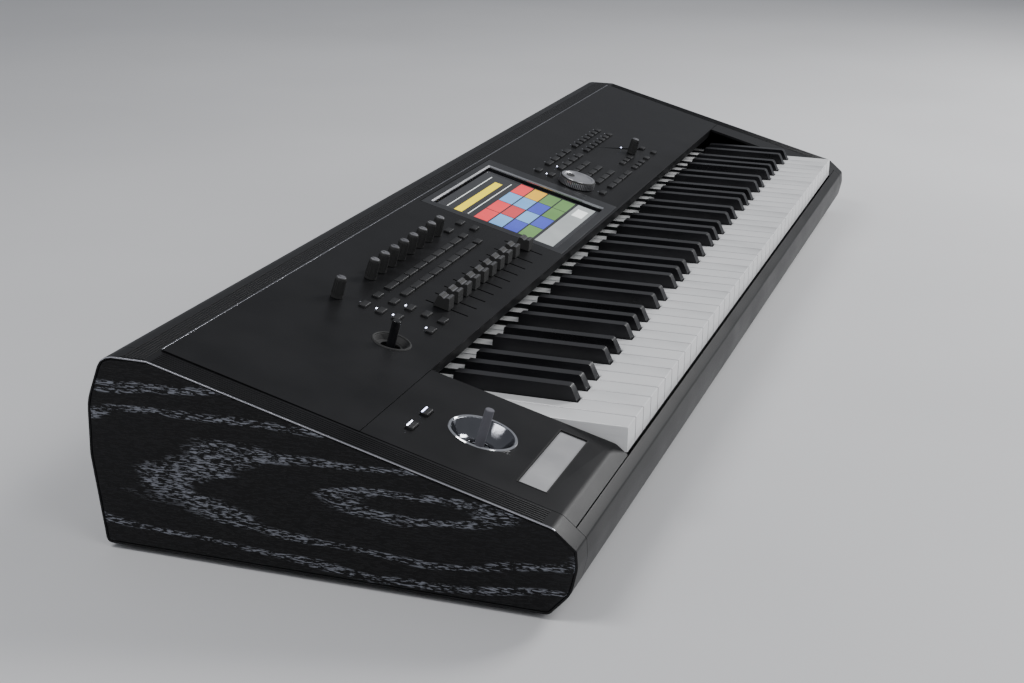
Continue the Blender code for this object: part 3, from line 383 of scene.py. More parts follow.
BOWL = Finish("dark_chrome", (0.16, 0.165, 0.185), (0.24, 0.245, 0.26), (0.05, 0.10), 1.0)
# painted highlight: bright metal strips stand where only the edges catch the light
EDGE_HIGHLIGHT = Finish("edge_trim", (0.40, 0.40, 0.44), (0.50, 0.50, 0.54), (0.20, 0.30), 0.9)
CHROME = Finish("polished_chrome", (0.72, 0.73, 0.76), (0.86, 0.86, 0.88), (0.05, 0.10), 1.0)
BEZEL = Finish("bezel_grey", (0.030, 0.031, 0.034), (0.055, 0.056, 0.060), (0.30, 0.42), 0.6)
CHAMFER = Finish("bezel_chamfer", (0.55, 0.56, 0.58), (0.68, 0.68, 0.70), (0.22, 0.34), 0.9)
GLASS = Finish("display_glass", (0.004, 0.004, 0.005), (0.008, 0.008, 0.010), (0.05, 0.09),
               coat=0.6, relief=0.000002)
PAD = Finish("ribbon_pad_grey", (0.30, 0.30, 0.31), (0.42, 0.42, 0.43), (0.42, 0.55))
STICK = Finish("stick_grey", (0.07, 0.07, 0.09), (0.12, 0.12, 0.14), (0.30, 0.40))
SILVER = Finish("turned_silver", (0.42, 0.42, 0.44), (0.60, 0.60, 0.62), (0.24, 0.36), 0.9)
CAP_GREY = Finish("cap_light_grey", (0.10, 0.10, 0.11), (0.16, 0.16, 0.17), (0.30, 0.42))
STEEL = Finish("zinc_steel", (0.42, 0.43, 0.44), (0.58, 0.58, 0.56), (0.28, 0.46), 1.0)
CIRCUIT = Finish("solder_mask", (0.015, 0.09, 0.04), (0.03, 0.15, 0.07), (0.34, 0.46), coat=0.2)
FOOT = Finish("foot_rubber", (0.012, 0.012, 0.012), (0.022, 0.022, 0.022), (0.70, 0.85))
SHADOW = Finish("groove_black", (0.002, 0.002, 0.002), (0.004, 0.004, 0.004), (0.70, 0.80))
FLOOR = Finish("pale_floor", (0.70, 0.70, 0.71), (0.74, 0.74, 0.75), (0.55, 0.65), cloud=1.5,
               grain=300.0)


class Tile(Enum):
    """Finishes of the display's fields."""

    RED = Glow("tile_red", (0.68, 0.040, 0.050), (0.76, 0.050, 0.060), strength=0.9)
    DULL_RED = Glow("tile_dull_red", (0.46, 0.04, 0.05), (0.54, 0.05, 0.06), strength=0.8)
    SKY = Glow("tile_sky", (0.12, 0.30, 0.56), (0.16, 0.35, 0.62), strength=0.9)
    BLUE = Glow("tile_blue", (0.045, 0.06, 0.38), (0.055, 0.075, 0.44), strength=0.9)
    GOLD = Glow("tile_gold", (0.66, 0.36, 0.012), (0.74, 0.42, 0.02), strength=0.9)
    GREEN = Glow("tile_green", (0.095, 0.20, 0.060), (0.115, 0.23, 0.075), strength=0.9)
    YELLOW = Glow("bar_yellow", (0.88, 0.70, 0.0), (0.92, 0.74, 0.002), strength=0.8)
    GREY = Glow("footer_grey", (0.26, 0.28, 0.28), (0.32, 0.34, 0.34), strength=0.9)
    WHITE = Glow("field_white", (0.70, 0.74, 0.72), (0.80, 0.84, 0.82), strength=1.1)


# glow of the lamps, also used as the painted highlight on the assign switches' top edges
LAMP_AND_HIGHLIGHT_GLOW = Glow("lamp_lit", (0.62, 0.66, 1.0), (0.80, 0.84, 1.0), strength=7.0)
UNLIT = Finish("lamp_dark", (0.10, 0.10, 0.12), (0.16, 0.16, 0.18), (0.20, 0.30), coat=0.4)


def keep(name: str, shape: bmesh.types.BMesh, finish: Finish, body: str,
         place: Matrix | None = None, edge: float = 0.0) -> bpy.types.Object:
    """Turn a bmesh into a finished piece that rides on a body.

    Args:
        name: Name of the piece.
        shape: The mesh in the making, which is used up.
        finish: Its finish.
        body: The body it rides on.
        place: Where the shape's own frame lies.
        edge: Width to which its sharp edges are softened.

    Returns:
        The piece.
    """
    if place:
        bmesh.ops.transform(shape, matrix=place, verts=shape.verts)
    for side in shape.faces:
        side.smooth = True
    mesh = bpy.data.meshes.new(name)
    shape.to_mesh(mesh)
    shape.free()
    mesh.set_sharp_from_angle(angle=SHARP_ANGLE)
    mesh.materials.append(finish.material())
    piece = bpy.data.objects.new(name, mesh)
    bpy.context.scene.collection.objects.link(piece)
    if edge:
        soften = piece.modifiers.new("edge", "BEVEL")
        soften.width = edge
        soften.segments = 2
        soften.angle_limit = SHARP_ANGLE
        soften.harden_normals = True
    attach(piece, body)
    return piece


def plate(shape: bmesh.types.BMesh, low: Spot, high: Spot) -> list[bmesh.types.BMVert]:
    """Add a box by its low and high corners.

    Args:
        shape: The mesh it is added to.
        low: Lowest corner.
        high: Highest corner.

    Returns:
        The box's vertices.
    """
    low, high = Vector(low), Vector(high)
    place = Matrix.Translation((low + high) / 2) @ Matrix.Diagonal((*(high - low), 1.0))
    return bmesh.ops.create_cube(shape, size=1.0, matrix=place)["verts"]


def shifted(box: Box, x: float, y: float, z: float = 0.0) -> Box:
    """Move a box's corners.

    Args:
        box: Its low and its high corner.
        x: Move along X.
        y: Move along Y.
        z: Move along Z.

    Returns:
        The moved corners.
    """
    low, high = box
    return (low[0] + x, low[1] + y, low[2] + z), (high[0] + x, high[1] + y, high[2] + z)


def lathe(shape: bmesh.types.BMesh, profile: Line, centre: Spot, steps: int,
          closed: bool = False) -> None:
    """Add a turned form whose profile is spun about the local Z axis.

    Args:
        shape: The mesh it is added to.
        profile: Radius and height of each corner.
        centre: Place of the axis.
        steps: Number of steps round the axis.
        closed: Whether the profile is a ring's closed section.
    """
    spots = [shape.verts.new((centre[0] + radius, centre[1], centre[2] + height))
             for radius, height in profile]
    pairs = list(zip(spots, spots[1:])) + ([(spots[-1], spots[0])] if closed else [])
    lines = [shape.edges.new(pair) for pair in pairs]
    bmesh.ops.spin(shape, geom=spots + lines, cent=centre, axis=(0, 0, 1), angle=math.tau,
                   steps=steps, use_merge=True)
    bmesh.ops.remove_doubles(shape, verts=shape.verts, dist=LATHE_MERGE)
    bmesh.ops.recalc_face_normals(shape, faces=shape.faces)


def refine(node: str, finish: Finish, edge: float) -> bpy.types.Object:
    """Stand a node's merged copy with softened edges in the node's place.

    Args:
        node: Name of the CAD node.
        finish: The copy's finish.
        edge: Width to which sharp edges are softened.

    Returns:
        The finished copy.
    """
    shape = bmesh.new()
    shape.from_mesh(frame["nodes"][node].data)
    bmesh.ops.remove_doubles(shape, verts=shape.verts, dist=NODE_MERGE)
    bmesh.ops.dissolve_limit(shape, angle_limit=FLAT_ANGLE, verts=shape.verts, edges=shape.edges)
    piece = keep(node + "_finished", shape, finish, BODY_OF[node], edge=edge)
    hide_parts(node)
    return piece


@dataclass
class Casing:
    """End castings, wood, nose, rear cover, control panel and the parts inside."""

    strip_middle: float = 0.6055
    rib_count: int = 7
    rib_pitch: float = 0.0028
    rib_width: float = 0.0013
    rib_height: float = 0.0004
    rib_root: float = -0.0006
    rib_rear: tuple[float, float] = (0.1290, 0.1437)
    rib_front: tuple[float, float] = (-0.1530, 0.0685)
    rear_rib_y: float = 0.1350
    rear_rib_end: float = 0.6145
    rim_z: float = 0.14431
    # painted highlight along the panel's rear edge
    highlight_box: Box = ((-0.5935, 0.1314, 0.1446), (0.5935, 0.1322, 0.1458))
    # section and path of the painted highlight strip along each end's top edge
    highlight_section: Line = ((0.6172, -0.0008), (0.6172, 0.0001), (0.6163, 0.0001), (0.6163, -0.0008))
    edge_line: Line = ((0.16693, 0.14047), (0.16293, 0.14331), (0.15813, 0.14431),
                       (0.13124, 0.14431), (-0.15871, 0.06694), (-0.16137, 0.06579),
                       (-0.16255, 0.06495))
    seam_us: tuple[float, float] = (-0.1045, 0.0985)
    seam: Box = ((-0.0003, 0.0012, -0.0005), (0.0003, 0.1516, 0.00006))
    foot_xs: tuple[float, float] = (-0.520, 0.520)
    foot_ys: tuple[float, float] = (-0.110, 0.125)
    foot_profile: Line = ((0.0, 0.0), (0.0098, 0.0), (0.0104, 0.0006), (0.0104, 0.0038),
                          (0.0, 0.0038))
    screw_first: float = -0.5500
    screw_pitch: float = 0.2200
    screw_count: int = 6
    screw_ys: tuple[float, float] = (-0.1400, 0.1500)
    screw_profile: Line = ((0.0, 0.0066), (0.0011, 0.0066), (0.0013, 0.0056), (0.0026, 0.0058),
                           (0.0032, 0.0064), (0.0032, 0.0070), (0.0, 0.0070))

    def build(self) -> None:
        """Finish the casing's nodes and add its ribs, painted highlight strips, seams, feet and
        screws.
        """
        for side in Side:
            hand = side.name.lower()
            refine(hand + "_end_casting", PAINT, CASTING_EDGE)
            refine(hand + "_wood_panel", ASH, WOOD_EDGE)
            self.ribs(side)
            self.lay_highlight_strip(side)
        for node in ("front_rail", "rear_cover", "left_control_block", "right_end_block",
                     "control_panel", "base_pan"):
            refine(node, PAINT, SHEET_EDGE)
        for node, finish in (("key_chassis", STEEL), ("control_board", CIRCUIT),
                             ("main_board", CIRCUIT), ("power_supply", CIRCUIT)):
            refine(node, finish, SMALL_EDGE)
        self.rear_ribs()
        self.seams()
        self.feet()
        self.screws()
        LOG.info("casing finished")

    def screws(self) -> None:
        """Hold the base pan with two rows of domed screws."""
        shape = bmesh.new()
        for y in self.screw_ys:
            for step in range(self.screw_count):
                x = self.screw_first + self.screw_pitch * step
                lathe(shape, self.screw_profile, (x, y, 0.0), steps=20)
        keep("base_screws", shape, STEEL, "casing")

    def ribs(self, side: Side) -> None:
        """Lay fine ribs along one end strip, from the rear edge to the nose.

        Args:
            side: The end they lie on.
        """
        shape = bmesh.new()
        rear, front = Vector(self.rib_rear), Vector(self.rib_front)
        run = (rear - front).length
        tilt = math.atan2(rear.y - front.y, rear.x - front.x)
        for index in range(self.rib_count):
            middle = side.value * self.strip_middle + (index - self.rib_count // 2) * self.rib_pitch
            ends = plate(shape, (middle - self.rib_width / 2, 0.0, self.rib_root),
                         (middle + self.rib_width / 2, run, self.rib_height))
            lines = dict.fromkeys(line for spot in ends for line in spot.link_edges)
            top = [line for line in lines if all(spot.co.z > 0 for spot in line.verts)]
            bmesh.ops.bevel(shape, geom=top, offset=PART_EDGE, segments=2, profile=0.5,
                            affect="EDGES", material=-1)
        place = Matrix.Translation((0.0, front.x, front.y)) @ Matrix.Rotation(tilt, 4, "X")
        keep(side.name.lower() + "_end_ribs", shape, PAINT, "casing", place)

    def rear_ribs(self) -> None:
        """Lay the same fine ribs along the flat rear rim and, behind the panel, a bright strip that
        paints the highlight on the panel's rear edge.
        """
        shape = bmesh.new()
        for index in range(self.rib_count):
            y = self.rear_rib_y + index * self.rib_pitch
            plate(shape, (-self.rear_rib_end, y - self.rib_width / 2, self.rim_z + self.rib_root),
                  (self.rear_rib_end, y + self.rib_width / 2, self.rim_z + self.rib_height))
        keep("rear_rim_ribs", shape, PAINT, "casing", edge=SMALL_EDGE)
        shape = bmesh.new()
        # bright strip: painted highlight of the panel's rear edge
        plate(shape, *self.highlight_box)
        keep("panel_rear_trim", shape, EDGE_HIGHLIGHT, "casing", edge=HIGHLIGHT_STRIP_BEVEL)

    def lay_highlight_strip(self, side: Side) -> None:
        """Lay a slim bright strip along the top edge of one end, a painted highlight where that
        edge catches the light.

        Args:
            side: The end it lies on.
        """
        shape = bmesh.new()
        rings = [[shape.verts.new((side.value * x, y, z + lift)) for x, lift in self.highlight_section]
                 for y, z in self.edge_line]
        for here, there in zip(rings, rings[1:]):
            for step in range(len(self.highlight_section)):
                shape.faces.new((here[step], here[step - 1], there[step - 1], there[step]))
        shape.faces.new(rings[0])
        shape.faces.new(rings[-1])
        bmesh.ops.recalc_face_normals(shape, faces=shape.faces)
        keep(side.name.lower() + "_edge_trim", shape, EDGE_HIGHLIGHT, "casing", edge=SMALL_EDGE)

    def seams(self) -> None:
        """Draw the joints between the panel's three fields as fine dark grooves."""
        shape = bmesh.new()
        for u in self.seam_us:
            plate(shape, *shifted(self.seam, u, 0.0))
        keep("panel_seams", shape, SHADOW, "casing", PANEL)

    def feet(self) -> None:
        """Give the four feet their rubber caps."""
        shape = bmesh.new()
        for x in self.foot_xs:
            for y in self.foot_ys:
                lathe(shape, self.foot_profile, (x, y, 0.0), steps=32)
        keep("foot_caps", shape, FOOT, "casing")


@dataclass
class Display:
    """Bezel, glass and a plain field of coloured tiles."""

    left: float = -0.0820
    right: float = 0.0700
    front: float = 0.0175
    level: float = -0.00395
    depth: float = 0.0002
    gap: float = 0.0016
    tiles: tuple = (
        (0.1000, 0.0860, (Tile.RED, Tile.RED, Tile.SKY, Tile.RED)),
        (0.0845, 0.0705, (Tile.SKY, Tile.DULL_RED, Tile.SKY, Tile.GOLD)),
        (0.0690, 0.0550, (Tile.BLUE, Tile.SKY, Tile.BLUE, Tile.GREEN)),
        (0.0535, 0.0395, (Tile.GREEN, Tile.BLUE, Tile.GREEN, Tile.GREEN)))
    columns: int = 4
    footer_rear: float = 0.0365
    footer_key: tuple[float, float, float, float] = (0.0300, 0.0560, 0.0215, 0.0325)
    footer_key_lift: float = 0.00003
    title_inset: float = 0.002
    title: Spot = (0.0440, 0.1130, 0.1210)
    line_inset: float = 0.004
    line_right: float = 0.0560
    line_vs: tuple[float, float] = (0.1285, 0.1065)
    line_width: float = 0.0008
    lip_low: float = -0.0022
    lip_high: float = 0.0001
    lip_slant: float = 0.0012
    lip_reach: float = 0.0002
    recess_left: float = -0.0917
    recess_front: float = 0.0120
    lip_us: tuple[float, float] = (0.0774, 0.0787)
    lip_vs: tuple[float, float] = (0.1401, 0.1414)

    def build(self) -> None:
        """Finish the display's nodes and lay out its lit fields."""
        refine("display_bezel", BEZEL, BEZEL_EDGE)
        refine("touch_screen", GLASS, PART_EDGE)
        self.chamfers()
        width = (self.right - self.left - (self.columns + 1) * self.gap) / self.columns
        for number, (rear, front, tiles) in enumerate(self.tiles):
            for place, tile in enumerate(tiles):
                left = self.left + self.gap + place * (width + self.gap)
                self.field(f"tile_{number + 1}_{place + 1}", tile, left, left + width, front, rear)
        self.field("footer", Tile.GREY, self.left, self.right, self.front, self.footer_rear)
        self.field("footer_key", Tile.WHITE, *self.footer_key, self.footer_key_lift)
        self.field("title_bar", Tile.YELLOW, self.left + self.title_inset, *self.title)
        for number, v in enumerate(self.line_vs):
            self.field(f"thin_line_{number + 1}", Tile.WHITE, self.left + self.line_inset,
                       self.line_right, v, v + self.line_width)
        LOG.info("display finished")

    def field(self, name: str, tile: Tile, left: float, right: float, front: float, rear: float,
              lift: float = 0.0) -> None:
        """Lay one lit field just over the glass.

        Args:
            name: Name of the field.
            tile: Its finish.
            left: Lowest u.
            right: Highest u.
            front: Lowest v.
            rear: Highest v.
            lift: Height over the other fields.
        """
        shape = bmesh.new()
        plate(shape, (left, front, self.level - self.depth), (right, rear, self.level + lift))
        keep("display_" + name, shape, tile.value, "casing", PANEL)

    def chamfers(self) -> None:
        """Add the bright bevelled lips along the recess's rear and right edges."""
        shape = bmesh.new()
        rear_lip = plate(shape, (self.recess_left, self.lip_vs[0], self.lip_low),
                         (self.lip_us[1], self.lip_vs[1], self.lip_high))
        side_lip = plate(shape, (self.lip_us[0], self.recess_front, self.lip_low),
                         (self.lip_us[1], self.lip_vs[1], self.lip_high))
        for spots, axis in ((rear_lip, 1), (side_lip, 0)):
            low = min(spot.co[axis] for spot in spots)
            for spot in spots:
                if spot.co.z > 0 and spot.co[axis] < low + self.lip_reach:
                    spot.co.z -= self.lip_slant
        keep("bezel_lips", shape, CHAMFER, "casing", PANEL)


@dataclass
class Controls:
    """Knobs, faders, dial, buttons, lamps, joysticks and ribbon."""

    first_u: float = -0.3315
    pitch: float = 0.0220
    knob_count: int = 8
    knob_v: float = 0.1040
    knob_top: float = 0.0175
    volume_spot: tuple[float, float] = (-0.3940, 0.1070)
    tempo_spot: tuple[float, float] = (0.3160, 0.0450)
    cap_profile: Line = ((0.0, 0.0003), (0.0034, 0.0003), (0.0038, -0.0001), (0.0, -0.0001))
    pointer: Box = ((-0.0003, 0.0004, 0.0), (0.0003, 0.0036, 0.00045))
    flutes: int = 18
    flute: Box = ((0.0040, -0.0003, 0.0030), (0.0052, 0.0003, 0.0155))
    flute_taper: float = 0.045
    dial_spot: tuple[float, float] = (0.1220, 0.0560)
    dial_top: float = 0.0085
    face_profile: Line = ((0.0, -0.0006), (0.0148, -0.0006), (0.0156, 0.0002), (0.0178, 0.0002),
                          (0.0182, -0.0006), (0.0170, -0.0016), (0.0, -0.0016))
    dimple_profile: Line = ((0.0, -0.0005), (0.0036, -0.0004), (0.0042, -0.0001),
                            (0.0046, -0.0006), (0.0, -0.0008))
    dimple_reach: float = 0.0085
    ridges: int = 60
    ridge: Box = ((0.0186, -0.0006, 0.0010), (0.0193, 0.0006, 0.0069))
    fader_count: int = 9
    fader_v: float = 0.0375
    slider_spot: tuple[float, float] = (-0.1257, 0.0344)
    index_line: Box = ((-0.0061, -0.0005, 0.0086), (0.0061, 0.0005, 0.0095))
    grip: Box = ((-0.0060, -0.0002, 0.0100), (0.0060, 0.0002, 0.0108))
    grip_offsets: tuple[float, ...] = (-0.0042, -0.0032, 0.0032, 0.0042)
    switch_us: tuple[float, float] = (-0.5575, -0.5285)
    # painted highlight: glowing strip along each switch's top edge
    switch_glow_box: Box = ((-0.0052, -0.0231, 0.0016), (0.0052, -0.0221, 0.0022))
    bowl_spot: Spot = (-0.5240, -0.0670, 0.0)
    bowl_rim: Line = ((0.0236, -0.0006), (0.0236, 0.0004), (0.0242, 0.0008), (0.0252, 0.0007),
                      (0.0257, 0.0001), (0.0257, -0.0002))
    vector_spot: Spot = (-0.4350, 0.0415, 0.0)
    vector_rim: Line = ((0.0140, -0.0006), (0.0140, 0.0005), (0.0146, 0.0009), (0.0154, 0.0008),
                        (0.0160, 0.0001), (0.0160, -0.0002))
    ribbon_us: tuple[float, float] = (-0.5737, -0.4692)
    ribbon_vs: tuple[float, float] = (-0.1323, -0.1092)
    ribbon_line: float = 0.0010
    ribbon_hs: tuple[float, float] = (-0.0012, 0.0002)
    row_first: float = 0.0265
    row_pitch: float = 0.0145
    lamp: Box = ((-0.0012, -0.0006, -0.0006), (0.0012, 0.0006, 0.0003))
    lamp_rises: tuple[float, float] = (0.0052, 0.0055)
    page_u: float = -0.3855
    select_u: float = -0.3580
    exit_u: float = 0.1260
    menu_u: float = 0.1225
    mode_u: float = 0.1610
    mode_pitch: float = 0.0220
    bank_u: float = 0.2605
    bank_pitch: float = 0.0160
    tempo_lamp: tuple[float, float] = (0.3236, 0.0600)
    lit_lamps: frozenset[int] = frozenset({0, 1, 2, 4, 6, 17})

    def build(self) -> None:
        """Finish the controls' nodes and add their small parts."""
        for index in range(self.knob_count):
            self.knob(f"realtime_knob_{index + 1}", self.first_u + index * self.pitch, self.knob_v)
        self.knob("volume_knob", *self.volume_spot)
        self.knob("tempo_knob", *self.tempo_spot)
        self.dial()
        for index in range(self.fader_count):
            self.fader(f"fader_{index + 1}", self.first_u + index * self.pitch, self.fader_v)
        self.fader("value_slider", *self.slider_spot)
        for node in ("mixer_buttons", "mode_buttons", "assign_switches"):
            refine(node, RUBBER, SMALL_EDGE)
        for node, finish in (("joystick_bowl", BOWL), ("joystick_stick", STICK),
                             ("joystick_gimbal", STEEL), ("vector_gimbal", STEEL),
                             ("vector_ring", KNOB), ("vector_stick", BLACK_KEY),
                             ("ribbon_pad", PAD), ("power_switch", KNOB)):
            refine(node, finish, PART_EDGE)
        self.rings()
        self.lamps()
        self.switch_strips()
        LOG.info("controls finished")

    def switch_strips(self) -> None:
        """Add glowing strips along the two assignable switches' top edges, a painted highlight."""
        shape = bmesh.new()
        for u in self.switch_us:
            plate(shape, *shifted(self.switch_glow_box, u, 0.0))
        keep("switch_strips", shape, LAMP_AND_HIGHLIGHT_GLOW, "assign_switches", PANEL)

    def row(self, number: int) -> float:
        """Tell where a button row lies.

        Args:
            number: The row, counted from the front.

        Returns:
            Its v.
        """
        return self.row_first + number * self.row_pitch

    def around(self, u: float, v: float, step: int, count: int) -> Matrix:
        """Turn about the upright axis of a knob by equal steps.

        Args:
            u: The axis's place along the keys.
            v: Its place up the slope.
            step: Number of steps to turn by.
            count: Number of steps in a full turn.

        Returns:
            The turn and the move to the axis.
        """
        turn = Matrix.Rotation(math.tau * step / count, 4, "Z")
        return Matrix.Translation((u, v, 0.0)) @ turn

    def knob(self, node: str, u: float, v: float) -> None:
        """Finish a knob and give it a fluted skirt, a dull cap and a pointer.

        Args:
            node: The knob's node.
            u: Its place along the keys.
            v: Its place up the slope.
        """
        refine(node, KNOB, SMALL_EDGE)
        shape = bmesh.new()
        lathe(shape, self.cap_profile, (u, v, self.knob_top), steps=28)
        keep(node + "_cap", shape, CAP_GREY, node, PANEL)
        shape = bmesh.new()
        foot = self.flute[0][2]
        for step in range(self.flutes):
            spots = plate(shape, *self.flute)
            for spot in spots:
                spot.co.x -= (spot.co.z - foot) * self.flute_taper
            bmesh.ops.transform(shape, matrix=self.around(u, v, step, self.flutes), verts=spots)
        keep(node + "_flutes", shape, KNOB, node, PANEL)
        shape = bmesh.new()
        plate(shape, *shifted(self.pointer, u, v, self.knob_top))
        keep(node + "_pointer", shape, SHADOW, node, PANEL)

    def dial(self) -> None:
        """Finish the value dial with a silver face, a finger dimple and a knurled side."""
        refine("value_dial", KNOB, PART_EDGE)
        u, v = self.dial_spot
        shape = bmesh.new()
        lathe(shape, self.face_profile, (u, v, self.dial_top), steps=64)
        keep("dial_face", shape, SILVER, "value_dial", PANEL)
        shape = bmesh.new()
        for step in range(self.ridges):
            spots = plate(shape, *self.ridge)
            bmesh.ops.transform(shape, matrix=self.around(u, v, step, self.ridges), verts=spots)
        keep("dial_knurl", shape, SILVER, "value_dial", PANEL)
        shape = bmesh.new()
        lathe(shape, self.dimple_profile, (u, v + self.dimple_reach, self.dial_top), steps=28)
        keep("dial_dimple", shape, KNOB, "value_dial", PANEL)

    def fader(self, node: str, u: float, v: float) -> None:
        """Finish a fader cap and give it an index line and finger ridges.

        Args:
            node: The fader's node.
            u: Its place along the keys.
            v: Its place up the slope at rest.
        """
        refine(node, KNOB, SMALL_EDGE)
        shape = bmesh.new()
        plate(shape, *shifted(self.index_line, u, v))
        keep(node + "_line", shape, CAP_GREY, node, PANEL)
        shape = bmesh.new()
        for offset in self.grip_offsets:
            plate(shape, *shifted(self.grip, u, v + offset))
        keep(node + "_grip", shape, CAP_GREY, node, PANEL)

    def rings(self) -> None:
        """Add the rims of the joystick bowl and the vector stick, and the ribbon's surround."""
        shape = bmesh.new()
        lathe(shape, self.bowl_rim, self.bowl_spot, steps=72, closed=True)
        keep("bowl_rim", shape, CHROME, "casing", PANEL)
        shape = bmesh.new()
        lathe(shape, self.vector_rim, self.vector_spot, steps=56, closed=True)
        keep("vector_rim", shape, KNOB, "casing", PANEL)
        (left, right), (front, rear), line = self.ribbon_us, self.ribbon_vs, self.ribbon_line
        shape = bmesh.new()
        for low, high in (((left, front), (right, front + line)),
                          ((left, rear - line), (right, rear)),
                          ((left, front + line), (left + line, rear - line)),
                          ((right - line, front + line), (right, rear - line))):
            plate(shape, (*low, self.ribbon_hs[0]), (*high, self.ribbon_hs[1]))
        keep("ribbon_surround", shape, SHADOW, "casing", PANEL)

    def lamps(self) -> None:
        """Set the small lamps above their buttons, some of them lit."""
        left_rise, right_rise = self.lamp_rises
        places = [(self.page_u, self.row(number) + left_rise) for number in (0, 2, 3, 4)]
        places.append((self.select_u, self.row(2) + left_rise))
        places.append((self.exit_u, self.row(0) + right_rise))
        for number in (4, 5):
            v = self.row(number) + right_rise
            places += [(self.mode_u + self.mode_pitch * step, v) for step in range(4)]
            places += [(self.bank_u + self.bank_pitch * step, v) for step in range(7)]
            places.append((self.menu_u, v))
        for index, (u, v) in enumerate(places + [self.tempo_lamp]):
            shape = bmesh.new()
            plate(shape, *shifted(self.lamp, u, v))
            finish = LAMP_AND_HIGHLIGHT_GLOW if index in self.lit_lamps or index == len(places) else UNLIT
            keep(f"lamp_{index + 1}", shape, finish, "casing", PANEL, SMALL_EDGE)


@dataclass
class Keyboard:
    """The white and the black keys."""

    sets: int = 6
    cheek_xs: tuple[float, float] = (-0.4544, 0.5537)
    cheek_width: float = 0.0012
    cheek_low: tuple[float, float] = (-0.1680, 0.0602)
    cheek_high: tuple[float, float] = (-0.1200, 0.0796)

    def build(self) -> None:
        """Finish the key sets with softened edges."""
        for number in range(1, self.sets + 1):
            refine(f"white_keys_{number}", WHITE_KEY, PART_EDGE)
            refine(f"black_keys_{number}", BLACK_KEY, PART_EDGE)
        self.cheeks()
        LOG.info("keys finished")

    def cheeks(self) -> None:
        """Close the open sides of the lowest and the highest key."""
        for number, left in zip((1, self.sets), self.cheek_xs):
            node = f"white_keys_{number}"
            shape = bmesh.new()
            plate(shape, (left, *self.cheek_low), (left + self.cheek_width, *self.cheek_high))
            keep(node + "_cheek", shape, WHITE_KEY, node, edge=SMALL_EDGE)


@dataclass
class RearSockets:
    """Nuts, pins and tongues of the sockets in the rear cover."""

    rear_y: float = 0.17865
    row_z: float = 0.0870
    jack_count: int = 10
    jack_first: float = -0.1200
    jack_pitch: float = 0.0250
    nut_profile: Line = ((0.0035, 0.0002), (0.0035, -0.0014), (0.0052, -0.0014),
                         (0.0058, -0.0008), (0.0058, 0.0002))
    round_count: int = 3
    round_first: float = 0.1700
    round_pitch: float = 0.0240
    round_pins: int = 5
    pin_circle: float = 0.0045
    pin_profile: Line = ((0.0, 0.0010), (0.0005, 0.0012), (0.0005, 0.0036), (0.0, 0.0036))
    pin_turn: float = math.radians(45)
    blade: Box = ((-0.0010, -0.0035, 0.0010), (0.0010, 0.0030, 0.0036))
    blade_xs: tuple[float, ...] = (-0.4860, -0.4800, -0.4740)
    tongue: Box = ((-0.0050, -0.0005, 0.0008), (0.0050, 0.0012, 0.0036))
    tongue_xs: tuple[float, float] = (0.2560, 0.2800)

    def build(self) -> None:
        """Add the small parts that show in the row of sockets."""
        upright = Matrix.Rotation(math.radians(90), 4, "X")
        place = Matrix.Translation((0.0, self.rear_y, 0.0)) @ upright
        z = self.row_z
        nuts = bmesh.new()
        for index in range(self.jack_count):
            x = self.jack_first + index * self.jack_pitch
            lathe(nuts, self.nut_profile, (x, z, 0.0), steps=24, closed=True)
        keep("jack_nuts", nuts, STEEL, "casing", place)
        pins = bmesh.new()
        for index in range(self.round_count):
            for step in range(self.round_pins):
                angle = self.pin_turn * step
                spot = (self.round_first + self.round_pitch * index
                        + self.pin_circle * math.cos(angle),
                        z + self.pin_circle * math.sin(angle), 0.0)
                lathe(pins, self.pin_profile, spot, steps=12)
        for box, xs in ((self.blade, self.blade_xs), (self.tongue, self.tongue_xs)):
            for x in xs:
                plate(pins, *shifted(box, x, z))
        keep("socket_pins", pins, SILVER, "casing", place)
        LOG.info("sockets finished")


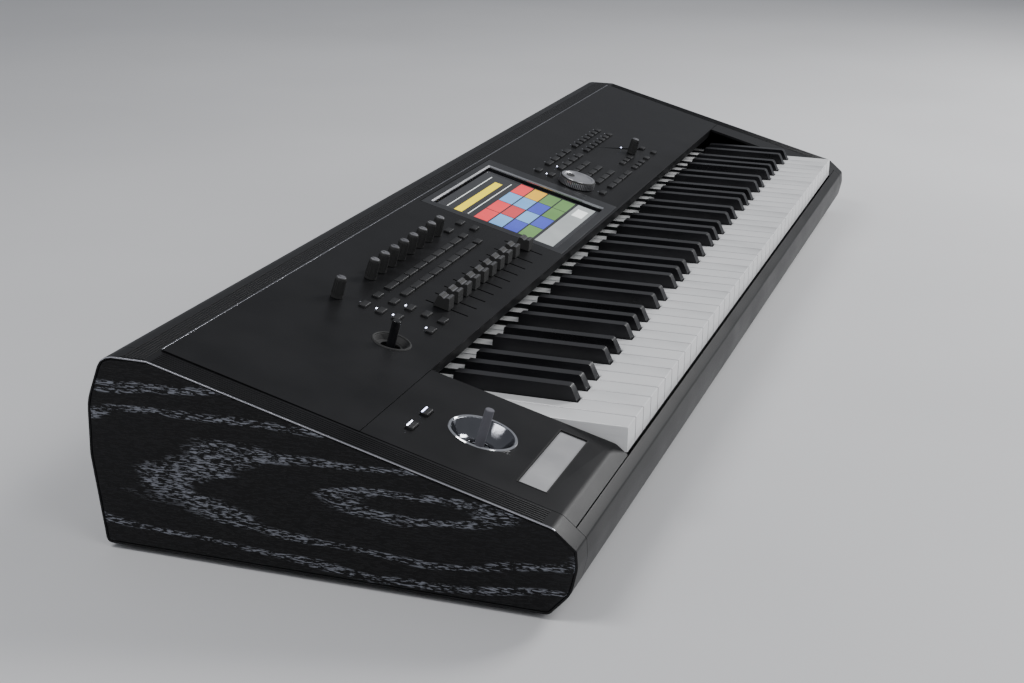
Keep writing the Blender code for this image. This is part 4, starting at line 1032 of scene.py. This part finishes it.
@dataclass
class Studio:
    """Floor, lights, world and the photograph's camera."""

    floor_half: float = 6.0
    lights: tuple = (
        ("key_light", (1.7, -1.3, 1.6), (0.9, 0.9), 56.0),
        ("side_light", (-1.1, 0.7, 1.7), (1.0, 0.5), 14.0),
        ("front_light", (-1.4, -1.6, 0.9), (1.0, 0.7), 9.0))
    target: Spot = (0.0, 0.0, 0.08)
    sky_tone: Colour = (0.90, 0.93, 1.0)
    sky_strength: float = 0.30
    eye: Spot = (-1.6162, -0.44875, 0.5297)
    yaw: float = math.radians(17.673)
    pitch: float = math.radians(-17.957)
    roll: float = math.radians(1.2175)
    lens: float = 61.506

    def build(self) -> None:
        """Set up the floor, the light and the camera."""
        shape = bmesh.new()
        bmesh.ops.create_grid(shape, x_segments=1, y_segments=1, size=self.floor_half)
        mesh = bpy.data.meshes.new("floor")
        shape.to_mesh(mesh)
        shape.free()
        mesh.materials.append(FLOOR.material())
        floor = bpy.data.objects.new("floor", mesh)
        bpy.context.scene.collection.objects.link(floor)
        for name, spot, size, power in self.lights:
            self.lamp(name, spot, size, power)
        world = bpy.data.worlds.new("studio")
        world.use_nodes = True
        sky = world.node_tree.nodes["Background"]
        sky.inputs["Color"].default_value = (*self.sky_tone, 1.0)
        sky.inputs["Strength"].default_value = self.sky_strength
        bpy.context.scene.world = world
        self.camera()

    def lamp(self, name: str, spot: Spot, size: tuple[float, float], power: float) -> None:
        """Hang one soft light that faces the instrument.

        Args:
            name: Name of the light.
            spot: Its place.
            size: Width and height of its face.
            power: Its power in watts.
        """
        light = bpy.data.lights.new(name, "AREA")
        light.shape = "RECTANGLE"
        light.size, light.size_y = size
        light.energy = power
        holder = bpy.data.objects.new(name, light)
        bpy.context.scene.collection.objects.link(holder)
        holder.location = spot
        aim = Vector(self.target) - Vector(spot)
        holder.rotation_euler = aim.to_track_quat("-Z", "Y").to_euler()

    def camera(self) -> None:
        """Put the camera where the photograph was taken from."""
        ahead = Vector((math.cos(self.pitch) * math.cos(self.yaw),
                        math.cos(self.pitch) * math.sin(self.yaw), math.sin(self.pitch)))
        level = ahead.cross(Vector((0, 0, 1))).normalized()
        up = level.cross(ahead)
        right = level * math.cos(self.roll) + up * math.sin(self.roll)
        top = up * math.cos(self.roll) - level * math.sin(self.roll)
        lens = bpy.data.cameras.new("camera")
        lens.lens = self.lens
        lens.sensor_width = 36.0
        holder = bpy.data.objects.new("camera", lens)
        bpy.context.scene.collection.objects.link(holder)
        turn = Matrix((right, top, -ahead)).transposed().to_4x4()
        holder.matrix_world = Matrix.Translation(self.eye) @ turn
        bpy.context.scene.camera = holder


def main() -> None:
    """Build the sub-assemblies in order and log each one."""
    for assembly in (Casing(), Display(), Controls(), Keyboard(), RearSockets(), Studio()):
        assembly.build()
        LOG.info("%s built", type(assembly).__name__)


if __name__ == "__main__":
    logging.basicConfig(level=logging.INFO)
    main()
